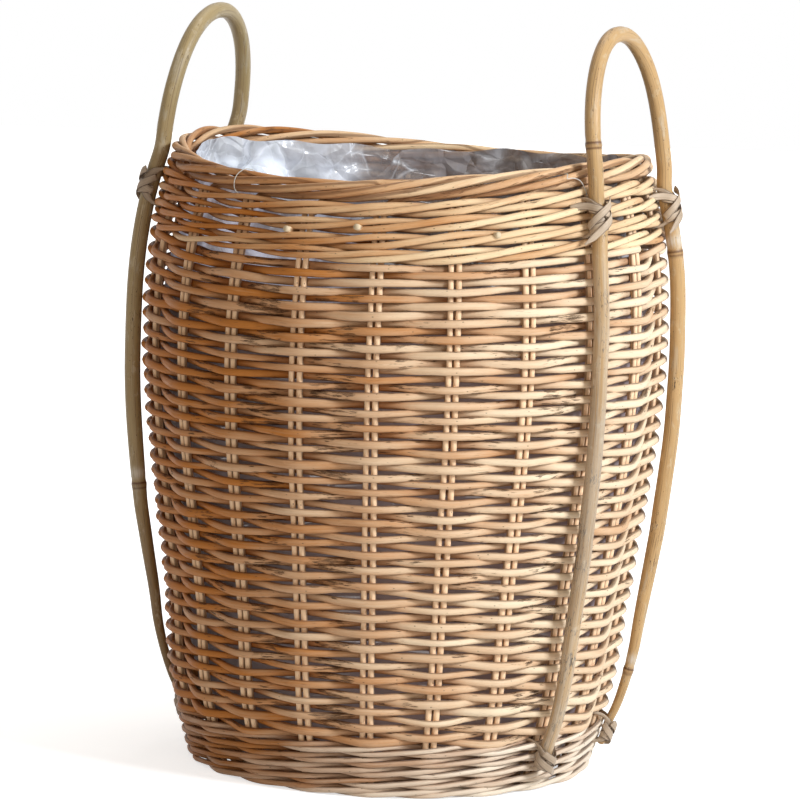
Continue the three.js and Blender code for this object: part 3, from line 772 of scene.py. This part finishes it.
def wale_rod(start, end, lead, turn, first, pitch, lowest, thinned):
    """One rod of a wale, between two joints of its round."""
    t = np.unique(np.round(np.r_[start + 0.04, np.arange(start + 0.1, end, 0.1), end - 0.04], 4))
    knots = np.arange(end - start + 2)
    drift = np.interp(t - start, knots, chance.normal(0, 0.035 * pitch, len(knots)))
    azimuth = pair_azimuth(SEAM_PAIR + lead + turn + t)
    height = first + pitch * (turn + 0.25 * round_curve(STROKE_RISE, t)) + drift
    offset = round_curve(STROKE_REACH, t)
    points, outward = on_wall(azimuth, np.maximum(height, lowest), offset)
    radius = pitch / 4 * np.linspace(chance.uniform(1.02, 1.14), chance.uniform(0.86, 0.96), len(t))
    if thinned:
        radius = radius * (0.95 - 0.23 * np.clip(np.cos(azimuth - RIM_THIN_AT), 0, 1) ** 9)
        if turn == 0:
            points[:, 2] += 3.4 * np.clip(np.cos(azimuth - RIM_HOLES_AT), 0, 1) ** 10
    # Browner to the left: partly the rods' own tone, partly painted shade on the side away from the key lamp.
    tone = chance.normal(0.14, 0.16) + 0.92 * left_tone_and_shade(azimuth) ** 1.45
    scuff = np.interp(t - start, knots, chance.uniform(0, 1, len(knots)) ** 2) * 0.5
    # Painted shade where the rod goes behind the stakes, its strength drawn for each stretch.
    shade_strength = np.interp(t - start, knots, chance.uniform(0.3, 1.1, len(knots)))
    shade_and_ring = smooth(3.5, -4.0, offset) * shade_strength
    return round_ends(rod(points, outward, radius, tone, scuff, shade_and_ring=shade_and_ring))


def wale(name, node, first, pitch, rounds, willow_used, lowest=0.0, thinned=False, stubs=()):
    """Three rods at a time, round after round: each passes in front of two pairs and behind the third."""
    strands = list(stubs)
    for turn in range(rounds):
        for lead in range(3):
            joint = 3 * int(chance.integers(2, 6))
            for start, end in ((0, joint), (joint, PAIRS)):
                strands.append(wale_rod(start, end, lead, turn, first, pitch, lowest, thinned))
    sweep(name, strands, 10, willow_used, "wale_wood", node)


# The rolled border
BORDER_MIDDLE = 476.0
BORDER_TURN = 2 * math.pi / 5
BORDER_START = 457


def border():
    """Each pair is turned down to the right, wound five gaps along the rim and tucked inside."""
    strands = []
    for pair in range(PAIRS):
        run = np.r_[np.linspace(-0.12, 0.5, 12), np.linspace(0.6, 5.25, 60)]
        angle = -math.pi / 2 - 0.55 + BORDER_TURN * run
        bend = smooth(-0.12, 0.55, run)
        reach = 5.0 * np.cos(angle) * bend - 0.4 * (1 - bend)
        height = BORDER_MIDDLE + 5.8 * np.sin(angle)
        height = BORDER_START + (height - BORDER_START) * np.clip((run + 0.12) / 0.5, 0, 1) ** 0.7
        azimuth = pair_azimuth(pair) + GAP * np.where(run < 0.5, 0.5 * smooth(-0.3, 0.72, run) ** 1.4, run)
        height = height + wander(len(run), 0.35, 9)
        flat = away_from_axis(azimuth)
        points = flat * (wall_radius(BORDER_MIDDLE) + reach)[:, None]
        points[:, 2] = height + rim_lift(azimuth, height)
        core = flat * wall_radius(BORDER_MIDDLE)
        core[:, 2] = BORDER_MIDDLE
        radius = np.linspace(chance.uniform(3.1, 3.5), 2.4, len(run)) * np.where(run < 0.1, 0.92, 1)
        # Browner to the left: partly the rods' own tone, partly painted shade on the side away from the key
        # lamp.
        tone = chance.normal(0.2, 0.18) + 0.5 * left_tone_and_shade(azimuth) ** 1.3
        tone = tone - 0.25 * smooth(0.2, 0.9, -np.cos(azimuth) * np.cos(angle))
        scuff = chance.uniform(0, 0.5)
        # Painted shade on the underside of the roll.
        shade_and_ring = smooth(0.3, -1, np.sin(angle)) * 0.4
        strands.append(round_ends(rod(points, points - core, radius, tone, scuff, shade_and_ring=shade_and_ring)))
    sweep("rolled_border", strands, 12, border_willow, "wale_wood", "border")


# Base
BASE_MIDDLE = 7.96
BASE_REACH = 141.0
BASE_PITCH = 5.2
WEAVE_START = 33.0
WEAVE_STEPS = 6
STICK_RADIUS = 2.3
STICK_SPACING = 4.75
STICK_LAYER = 2.3
PAIRS_OF_QUARTER = {0: [19, 20, 0, 1, 2], 1: [3, 4, 5, 6, 7], 2: [8, 9, 10, 11, 12], 3: [13, 14, 15, 16, 17]}
SPARE_PAIR = 18


def stick_halves(azimuths):
    """Half a stick for each pair but one: straight under the middle, then fanned out to its pair."""
    halves = {}
    for quarter, members in PAIRS_OF_QUARTER.items():
        heading = quarter * math.pi / 2
        ahead = np.array([math.sin(heading), -math.cos(heading)])
        aside = np.array([0.0, 1.0]) if quarter % 2 else np.array([1.0, 0.0])
        ways = away_from_axis(azimuths[members])[:, :2]
        ranks = np.argsort(np.argsort(ways @ aside))
        layer = BASE_MIDDLE + (STICK_LAYER if quarter % 2 else -STICK_LAYER)
        for way, rank in zip(ways, ranks):
            lateral = aside * (rank - 2) * STICK_SPACING
            path = [ahead * 2 + lateral, ahead * 13 + lateral, ahead * 20 + lateral * 1.05]
            levels = [layer, layer, layer + (BASE_MIDDLE - layer) * 0.4]
            for r in (34, 44, 60, 85, 110, BASE_REACH):
                path.append(way * r)
                levels.append(BASE_MIDDLE)
            halves[quarter, rank] = np.c_[np.array(path), levels]
    return halves


def base_sticks():
    """Ten sticks cross under the middle and fan out, and one more is pushed in."""
    azimuths = np.sort(np.array([pair_azimuth(pair) % (2 * math.pi) for pair in range(PAIRS)]))
    halves = stick_halves(azimuths)
    strands = []
    for quarter in (0, 1):
        for rank in range(5):
            line = smooth_line(np.r_[halves[quarter, rank][::-1], halves[quarter + 2, rank]], 3.5)
            strands.append(round_ends(level_rod(line, STICK_RADIUS, chance.uniform(0.2, 0.6), 0.2)))
    line = away_from_axis(azimuths[SPARE_PAIR]) * np.linspace(26, BASE_REACH, 30)[:, None]
    line[:, 2] = BASE_MIDDLE
    strands.append(round_ends(level_rod(line, 2.2, 0.4, 0.2)))
    sweep("base_spokes", strands, 8, base_willow, "stake_wood", "base_sticks")


def base_spiral():
    """A flat spiral of thin rods, over one stick and under the next."""
    passes = int((BASE_REACH - 3 - WEAVE_START) / BASE_PITCH * PAIRS)
    t = np.arange(0, passes, 1 / WEAVE_STEPS)
    near = np.floor(t)
    level = (1 - 2 * (near % 2)) * np.cos(np.pi * smooth(0.06, 0.94, t - near)) * 4.4
    line = away_from_axis(pair_azimuth(t)) * (WEAVE_START + BASE_PITCH * t / PAIRS)[:, None]
    line[:, 2] = BASE_MIDDLE + level
    line[:, 2] += np.interp(t, np.arange(passes + 1), chance.normal(0, 0.2, passes + 1))
    strands, start = [], 0
    while start < len(t) - 40:
        end = min(start + int(chance.integers(13, 22)) * 2 * WEAVE_STEPS, len(t))
        if len(t) - end < 60:
            end = len(t)
        part = line[start + (1 if start else 0):end]
        facing = np.tile(UPWARDS, (len(part), 1)) * np.sign(part[:, 2:3] - BASE_MIDDLE + 1e-3)
        radius = np.linspace(2.5, 2.0, len(part))
        strands.append(round_ends(rod(part, facing, radius, chance.uniform(0.2, 0.7), 0.3, shade_and_ring=0.2)))
        start = end
    sweep("base_spiral", strands, 8, base_willow, "rod_wood", "base_weave")


# Liner
LINER_FOOT = 16.2
LINER_TOP = 475.0
LINER_GAP = 9.9
FILM_BULGE = 3.4


def crease(spot, size, sharpness):
    """How near a spot is to a crease between flat facets, and its facet's own number, both 0 to 1."""
    spot = spot / size
    astray = spot + noise.noise_vector(spot * 0.8) * 0.9
    near, cells = noise.voronoi(astray, distance_metric="DISTANCE", exponent=2.5)
    return max(1 - (near[1] - near[0]) * sharpness, 0), noise.cell(cells[0] * 7.3) * 0.5 + 0.5


def spun_bag():
    """The bag's plain form: a profile of its base and side, spun round."""
    heights = np.r_[np.linspace(LINER_FOOT + 3, 400, 46), np.linspace(404, LINER_TOP, 24)]
    drop = LINER_GAP / np.cos(wall_lean(heights))
    profile = [(r, LINER_FOOT) for r in np.linspace(0.0, wall_radius(LINER_FOOT) - 14, 24)]
    profile += list(zip(wall_radius(heights) - drop, heights))
    film = bmesh.new()
    line = [film.verts.new((r * MM, 0, z * MM)) for r, z in profile]
    edges = [film.edges.new(pair) for pair in zip(line[:-1], line[1:])]
    bmesh.ops.spin(film, geom=line + edges, cent=(0, 0, 0), axis=(0, 0, 1), angle=2 * math.pi, steps=360,
                   use_merge=True)
    bmesh.ops.remove_doubles(film, verts=film.verts, dist=1e-6)
    bmesh.ops.recalc_face_normals(film, faces=film.faces)
    mesh = bpy.data.meshes.new("film_bag")
    film.to_mesh(mesh)
    film.free()
    return mesh


def liner():
    """The bag of clear film, crumpled inwards, bulging between the stakes, its top edge uneven."""
    mesh = spun_bag()
    place = np.zeros(len(mesh.vertices) * 3, np.float32)
    mesh.vertices.foreach_get("co", place)
    place = place.reshape(-1, 3) / MM
    flat = np.hypot(place[:, 0], place[:, 1]) + 1e-6
    azimuth = np.arctan2(place[:, 0], -place[:, 1])
    finish = np.zeros_like(place)
    for i in range(len(place)):
        x, y, z = place[i]
        spot = Vector((x, y, z * 1.3))
        (big, facet), (small, _) = crease(spot, 78, 2.4), crease(spot, 30, 1.9)
        swell = max(noise.noise(Vector((x, y, z * 0.5)) / 42) + 0.25, 0)
        # Painted light on the film: white is a painted white reflection on the left above the weave, glow a
        # painted glow strongest at the front, and calm the right side, where the painted glints are fewer.
        white = smooth(-10, -80, x) * smooth(370, 400, z) * (1 - 0.3 * smooth(457, 461, z))
        glow = white * (0.34 + 0.22 * smooth(0, -60, y)) * (0.7 + 0.5 * facet)
        calm = smooth(385, 415, z) * smooth(20, 90, x)
        finish[i] = (calm, glow, white)
        side = smooth(LINER_FOOT, LINER_FOOT + 12, z)
        deep = (0.4 + 1.9 * smooth(330, 450, z)) * side * (1 - 0.5 * smooth(462, 475, z))
        shrink = 1 - (3.4 * (1 - big) * 0.9 + 1.1 * (1 - small) + 3.0 * swell) * deep / flat[i]
        gap_share = 0.5 - 0.5 * math.cos((azimuth[i] - FIRST_PAIR) / GAP * 2 * math.pi)
        shrink += FILM_BULGE * gap_share**1.5 * smooth(60, 100, z) * smooth(400, 360, z) / flat[i]
        place[i, 0] *= shrink
        place[i, 1] *= shrink
        if z < LINER_FOOT + 0.5:
            place[i, 2] += max(1.2 * big + 0.5 * small - 0.3, 0) * smooth(130, 110, flat[i])
    lift = rim_lift(azimuth, place[:, 2])
    ragged = 2.5 * np.sin(azimuth * 3 + 1) + 1.6 * np.sin(azimuth * 7.0 + 2) + 1.2 * np.sin(azimuth * 17.0)
    ragged += smooth(0.2, -0.3, np.cos(azimuth)) * (1.5 + 7 * smooth(-90, 30, place[:, 0]))
    place[:, 2] += lift + (ragged - 2) * smooth(430, LINER_TOP - 4, place[:, 2])
    mesh.vertices.foreach_set("co", (place * MM).astype(np.float32).ravel())
    mesh.attributes.new("finish", "FLOAT_VECTOR", "POINT").data.foreach_set("vector", finish.ravel())
    mesh.materials.append(liner_film)
    mesh.shade_smooth()
    bag = placed("film_bag", mesh)
    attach(bag, "root")
    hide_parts("liner_base", "liner_side")


# Handles
CANE_RADIUS = {"left": 6.3, "right": 6.05}
# Each leg's share of the cane's radius at its foot and the height where the taper ends, by its pair
FOOT_SHARE = {3: (0.82, 150), 5: (0.5, 230), -5: (0.42, 280), -7: (0.5, 230)}
BOW_PLACES = [0, 0.05, 0.15, 0.4, 0.53, 0.66, 0.79, 1]
BOW_SHARES = [0, 0.5, 1, 1, 0.63, 0.26, 0.04, 0]
BOW_REACH = 5.2
LOWER_TIE = (23.8, 42.4)
RIGHT_BACK_TIE = (28.8, 47.4)
UPPER_TIE = (432.4, 457.1)
SEAT = 8.6
ARCH_FOOT = 500.0
ARCH_RISE = 87.3
ARCH_LEAN = 13.0
ARCH_REACH = {"left": 195.0, "right": 198.2}
BORDER_REACH = {"left": 197.5, "right": 200.6}
BORDER_LEVEL = 475.0
RIGHT_PAIRS = (3, 5)
LEFT_PAIRS = (-7, -5)
CANE_STEP = 1.4


def cane_radius(side, height, pair):
    """A leg tapers towards the lashing at its foot."""
    share, reach = FOOT_SHARE[pair]
    return CANE_RADIUS[side] * (share + (1 - share) * smooth(10, reach, height) ** 0.8)


def leg_azimuth(pair, height):
    """A leg's place round the basket: three of the four stray from their pair of stakes."""
    stray = 0.0
    if pair == -5:
        stray = math.radians(-10) * smooth(210, 40, height)
    if pair == -7:
        stray = math.radians(-2.8) * smooth(280, 440, height)
    if pair == 3:
        stray = math.radians(-1.4) * (1 - 0.8 * smooth(410, 450, height))
    return pair_azimuth(pair) + stray


def leg_line(side, pair, turn):
    low, high = LOWER_TIE[1], UPPER_TIE[0]
    heights = np.r_[27, LOWER_TIE[0] + 9, low + (high - low) * np.linspace(0, 1, 26), UPPER_TIE[1]]
    bow = np.interp((heights - low) / (high - low), BOW_PLACES, BOW_SHARES) * BOW_REACH
    points, _ = on_wall(leg_azimuth(pair, heights), heights, SEAT + cane_radius(side, heights, pair) + bow)
    azimuth = pair_azimuth(pair) + 0.75 * turn
    beside = away_from_axis(azimuth) * BORDER_REACH[side]
    beside[2] = BORDER_LEVEL + rim_lift(azimuth, BORDER_LEVEL)
    return np.r_[points, [beside]]


def arch_line(side, pairs, turn):
    """The bend over the rim, from the first leg to the second."""
    first, last = pair_azimuth(pairs[0]) + turn, pair_azimuth(pairs[1])
    middle, spread = (first + last) / 2, (last - first) / 2
    angle, reach = np.linspace(0, math.pi, 17)[:, None], ARCH_REACH[side]
    arch = away_from_axis(middle) * (reach * math.cos(spread) - ARCH_LEAN * np.sin(angle))
    wide = np.where(angle > math.pi / 2, -np.abs(np.cos(angle)) ** 0.84, np.cos(angle))
    arch = arch - round_axis(middle) * reach * math.sin(spread) * wide
    arch[:, 2:] = ARCH_FOOT + ARCH_RISE * np.sin(angle)
    return arch


def hump(distance, middle, width):
    return np.exp(-((distance - middle) / width) ** 2)


def handle(side, pairs, turn, knots, finish):
    """One cane: up one leg, over the arch and down the other leg."""
    legs = leg_line(side, pairs[0], turn), leg_line(side, pairs[1], 0)[::-1]
    line = smooth_line(np.r_[legs[0], arch_line(side, pairs, turn), legs[1]], CANE_STEP)
    run = run_along(line)
    share = run / run[-1]
    levels = line[:, 2]
    first_leg = share < 0.5
    slim = np.where(first_leg, cane_radius(side, levels, pairs[0]), cane_radius(side, levels, pairs[1]))
    radius = slim + 0.15 * np.interp(share, np.linspace(0, 1, 14), chance.normal(0, 1, 14).clip(-1, 1))
    tone, stain = np.array([finish(bool(leg), float(height)) for leg, height in zip(first_leg, levels)]).T
    ring = np.zeros(len(line))
    if side == "right":
        ring -= 0.4 * first_leg * smooth(440, 400, levels)
    for on_first, height in knots:
        distance = np.where(first_leg == on_first, levels - height, 1e3)
        radius = radius + 0.4 * hump(distance, -1.5, 2.6) - 0.25 * hump(distance, 3.0, 2.0)
        ring += 1.2 * hump(distance, 0, 1.0) + hump(distance, -3.6, 0.8)
        if height < HEIGHT:
            ring -= 0.85 * hump(distance, 8, 4.5)
    line += np.stack([wander(len(line), 0.25, 28), wander(len(line), 0.25, 28), np.zeros(len(line))], -1)
    # For the cane these values hold its real growth rings and peeled bands, not shade.
    strand = rod(line, line * [1, 1, 0], radius, tone, stain, shade_and_ring=ring)
    sweep(f"cane_loop_{side}", [round_ends(strand, 0.6)], 16, handle_canes[side], "cane", f"handle_{side}")


def right_finish(first_leg, height):
    """The front leg is grey-brown and specked, the side leg and the arch straw yellow."""
    if height > ARCH_FOOT:
        return 0.15, 0.05
    if first_leg:
        grey = float(smooth(370, 290, height) * smooth(110, 200, height))
        specked = float(smooth(290, 210, height) * smooth(90, 150, height))
        return 0.2 + 0.45 * grey, 0.3 + 0.4 * specked
    return 0.12 + 0.15 * float(smooth(120, 40, height)), 0.12


def left_finish(first_leg, height):
    """Both legs are olive brown, stained by the upper tie, and darker below the arch and towards the foot."""
    stained = float(smooth(430, 455, height) * smooth(485, 465, height))
    leg_tone = 0.2 + 0.3 * float(smooth(560, 470, height)) + 0.55 * float(smooth(260, 120, height))
    return leg_tone, 0.15 * float(smooth(560, 500, height)) + 0.4 * stained


# Lashings
STRIP_HALF = 3.0
STRIP_STEP = 1.4
STRIP_THICK = 0.17
STRIP_LAYER = 0.75
BEHIND_STAKES = -8.6
BACK_HALF = 7.15
NARROW = 0.45
CORNER = math.pi * 0.75


def strip_turn(cane, wrap, reach, start, end):
    """One turn's run over the cane, from its left to its right."""
    stops = [(-wrap, cane - 0.6 * wrap, start, NARROW, -math.pi / 2)]
    for bend in range(13):
        facing = math.pi * bend / 12 - math.pi / 2
        near = wrap + (reach - wrap) * min(1.6 * math.cos(facing) ** 2, 1)
        share = start + (end - start) * (0.12 + 0.76 * bend / 12)
        stops.append((wrap * math.sin(facing), cane + near * math.cos(facing), share, 1, facing))
    stops.append((wrap, cane - 0.6 * wrap, end, NARROW, math.pi / 2))
    return stops


def lashing(name, side, pair, tie, tone, hand=1, tails=True):
    """A split cane wound round the leg and its stakes, knotted in front, its tails left splayed."""
    low, high = tie
    round_cane = float(cane_radius(side, (low + high) / 2, pair))
    cane, wrap = SEAT + round_cane, round_cane + STRIP_LAYER
    top = cane + wrap
    behind = lambda sideways, share, facing: (sideways * BACK_HALF, BEHIND_STAKES, share, NARROW, facing)
    wound = [behind(-0.25, 0, -math.pi), behind(-1, 0, -CORNER), *strip_turn(cane, wrap, wrap, 0, 1),
             behind(1, 1, CORNER), behind(0, 1, math.pi), behind(-1, 1, -CORNER),
             *strip_turn(cane, wrap, wrap + 1.2, 1, 0), behind(1, 0, CORNER), behind(0.25, 0, math.pi)]

    def over(start, end, low_share, high_share, layer):
        """A stretch laid over the cane between two facings, in degrees from its front."""
        stops = []
        for along in np.linspace(0, 1, 9):
            facing = hand * math.radians(start + (end - start) * along)
            near = wrap + layer - 1.2 * abs(facing / 1.8) ** 3
            share = low_share + (high_share - low_share) * along
            stops.append((near * math.sin(facing), cane + near * math.cos(facing), share, 1, facing))
        return stops

    def free(sideways, offset, share, wide, facing):
        """A stop on a tail that stands off the cane."""
        return hand * sideways, offset, share, wide, hand * facing

    laid = [over(-100, 104, 0.72, 0.3, 2.0), over(-100, 104, 0.1, 0.36, 1.9)]
    if tails:
        laid += [[free(-18, 4.5, 0.82, 0.7, -0.2), free(-12.5, 9.5, 0.82, 1, -0.5),
                  *over(-72, -20, 0.74, 0.6, 2.6)],
                 [free(-15.5, top - 6, -0.26, 0.3, -0.6), free(-11, top - 2.6, -0.12, 0.85, -0.6),
                  *over(-38, 104, 0.06, 0.72, 2.9)],
                 over(-102, 48, 0.2, 0.88, 3.5)]
    strands = [strip(pair, low, high, wound, tone)]
    strands += [strip(pair, low, high, path, tone - 0.08) for path in laid]
    sweep("tie_" + name, strands, 8, strap_cane, "strap", "lashing_" + name)


def strip(pair, low, high, stops, tone):
    """One strip. A stop is a place to the side, an offset from the wall, a share of the tie's height,
    a share of the strip's width and the way the face looks there."""
    rows = []
    for sideways, offset, share, wide, facing in stops:
        height = low + (high - low) * share
        azimuth = leg_azimuth(pair, height)
        point, out = on_wall(azimuth, height, offset)
        aside = round_axis(azimuth)
        rows.append([*(point + aside * sideways), *(out * math.cos(facing) + aside * math.sin(facing)), wide])
    rows = np.array(rows)
    run = run_along(rows[:, :3])
    line = smooth_line(rows, STRIP_STEP)
    at = np.linspace(0, run[-1], len(line))
    face = np.stack([np.interp(at, run, rows[:, k]) for k in (3, 4, 5)], -1)
    wide = np.interp(at, run, rows[:, 6])
    tone = tone + chance.normal(0, 0.1)
    return round_ends(rod(line[:, :3], face, STRIP_HALF, tone, wide=wide, thick=STRIP_THICK), 0.9)


# Threads
THREAD_RADIUS = 0.4
# A loop's points lie so far to the right, outwards and up from its place on the wall
LEFT_LOOP = [(2.0, -9, 0), (1.5, -7.6, 8), (0.2, -2, 11.5), (-3.4, 5, 10.5), (-7.6, 8.8, 5), (-9.6, 9.5, -2),
             (-8.6, 9.7, -6), (-5.5, 9.5, -8.5)]
RIGHT_LOOP = [(-8, 4, 9), (-9.5, 9.2, 7.5), (-10.5, 9.8, 4.5), (-6, 10.2, 4.6), (-2, 10.4, 4), (3, 10.4, 1.8),
              (6.5, 10.2, -2), (9.6, 10, -7), (11.5, 9.6, -12.5)]


def thread(name, degrees, height, loop):
    """A loop of thread that holds the film to the border."""
    azimuth = math.radians(degrees)
    base, out = on_wall(azimuth, height)
    aside = round_axis(azimuth)
    points = [base + aside * right + out * off + np.array([0, 0, up]) for right, off, up in loop]
    line = smooth_line(points, 1.0)
    sweep("stitch_" + name, [rod(line, np.tile(out, (len(line), 1)), THREAD_RADIUS)], 6, white_thread, "film")


# Floor, light and camera
LAMPS = [("key", (2.1, -1.5, 1.5), 0.7, 80, (0.88, 0.945, 1.0)),
         ("fill", (-0.7, -2.8, 1.1), 1.6, 11, (1.0, 0.83, 0.62)),
         ("top", (0.2, 0.4, 2.4), 1.3, 14, (1.0, 1.0, 1.0))]
LAMPS_LOOK_AT = (0, 0, 0.27)
CAMERA_PLACE = (-0.0028, -3.7, 0.799)
CAMERA_TILT = math.radians(90 - 7.87)
CAMERA_ROLL = math.radians(1.95)
CAMERA_LENS = 212.2


def seen_as_background(tree):
    """One for rays that should meet the plain background: the camera's, and mirrored or bent ones."""
    path = add_node(tree, "LightPath").outputs
    seen = plus(tree, path["Is Camera Ray"], path["Is Transmission Ray"], clamp=True)
    return plus(tree, seen, path["Is Glossy Ray"], clamp=True)


def floor():
    """A wide floor that keeps the basket's shadow and fades to white."""
    grid = bmesh.new()
    bmesh.ops.create_grid(grid, x_segments=1, y_segments=1, size=6)
    mesh = bpy.data.meshes.new("floor")
    grid.to_mesh(mesh)
    grid.free()
    stage = placed("floor", mesh)
    material, tree, body, end = new_material("pale_floor")
    body.inputs["Base Color"].default_value = (0.86, 0.86, 0.86, 1)
    body.inputs["Roughness"].default_value = 0.9
    place = add_node(tree, "TexCoord").outputs["Object"]
    distance = add_node(tree, "VectorMath", operation="LENGTH", i0=place).outputs["Value"]
    far = between(tree, distance, 0.3, 1.8)
    glow = add_node(tree, "Emission", Strength=times_plus(tree, far, 0.45, 0.66))
    both = add_node(tree, "AddShader", i0=body.outputs[0], i1=glow.outputs[0])
    mixed = add_node(tree, "MixShader", i0=seen_as_background(tree), i1=body.outputs[0], i2=both.outputs[0])
    tree.links.new(mixed.outputs[0], end.inputs["Surface"])
    mesh.materials.append(material)


def studio():
    """A dull world that looks white where it is seen, three lamps and the camera."""
    world = bpy.data.worlds.new("studio")
    bpy.context.scene.world = world
    world.use_nodes = True
    tree = world.node_tree
    tree.nodes.clear()
    dull = add_node(tree, "Background", Color=(1.0, 0.93, 0.83, 1), Strength=0.27).outputs[0]
    white = add_node(tree, "Background", Color=(1, 1, 1, 1), Strength=1.0).outputs[0]
    mixed = add_node(tree, "MixShader", i0=seen_as_background(tree), i1=dull, i2=white)
    add_node(tree, "OutputWorld", Surface=mixed.outputs[0])

    for name, place, size, power, tint in LAMPS:
        lamp = bpy.data.lights.new(name, "AREA")
        lamp.size = size
        lamp.energy = power
        lamp.color = tint
        holder = placed(name, lamp)
        holder.location = place
        way = Vector(LAMPS_LOOK_AT) - Vector(place)
        holder.rotation_euler = way.to_track_quat("-Z", "Y").to_euler()

    lens = bpy.data.cameras.new("camera")
    lens.lens = CAMERA_LENS
    lens.sensor_width = 36
    lens.clip_start = 0.05
    lens.clip_end = 50
    camera = placed("camera", lens)
    turn = Matrix.Rotation(CAMERA_TILT, 4, "X") @ Matrix.Rotation(CAMERA_ROLL, 4, "Z")
    camera.matrix_world = Matrix.Translation(CAMERA_PLACE) @ turn
    bpy.context.scene.camera = camera
    bpy.context.scene.view_settings.view_transform = "Standard"


# The basket, put together in the order of its random draws
stakes()
randed_side()
wale("foot_rope", "foot_wale", first=4.9, pitch=8.7, rounds=5, willow_used=foot_willow, lowest=2.6)
wale("rim_rope", "top_wale", first=424.8, pitch=12.0, rounds=4, willow_used=wale_willow, thinned=True,
     stubs=[cut_stub(-27.6, 443, 1), cut_stub(-11.5, 447, 1), cut_stub(19.3, 438, -1)])
border()
base_sticks()
base_spiral()
liner()
handle("right", RIGHT_PAIRS, math.radians(-0.6), [(True, 508), (False, 418), (False, 85)], right_finish)
handle("left", LEFT_PAIRS, math.radians(-6.4), [(True, 330), (False, 213)], left_finish)
lashing("left_back_upper", "left", LEFT_PAIRS[0], UPPER_TIE, 0.7)
lashing("left_back_lower", "left", LEFT_PAIRS[0], LOWER_TIE, 0.8, hand=-1)
lashing("left_front_upper", "left", LEFT_PAIRS[1], UPPER_TIE, 0.7)
lashing("left_front_lower", "left", LEFT_PAIRS[1], LOWER_TIE, 0.8, hand=-1, tails=False)
lashing("right_front_upper", "right", RIGHT_PAIRS[0], UPPER_TIE, 0.45)
lashing("right_front_lower", "right", RIGHT_PAIRS[0], LOWER_TIE, 0.5, hand=-1)
lashing("right_back_upper", "right", RIGHT_PAIRS[1], UPPER_TIE, 0.45)
lashing("right_back_lower", "right", RIGHT_PAIRS[1], RIGHT_BACK_TIE, 0.5, hand=-1)
thread("left", -41.5, 474.0, LEFT_LOOP)
thread("right", 40.5, 469.0, RIGHT_LOOP)
floor()
studio()
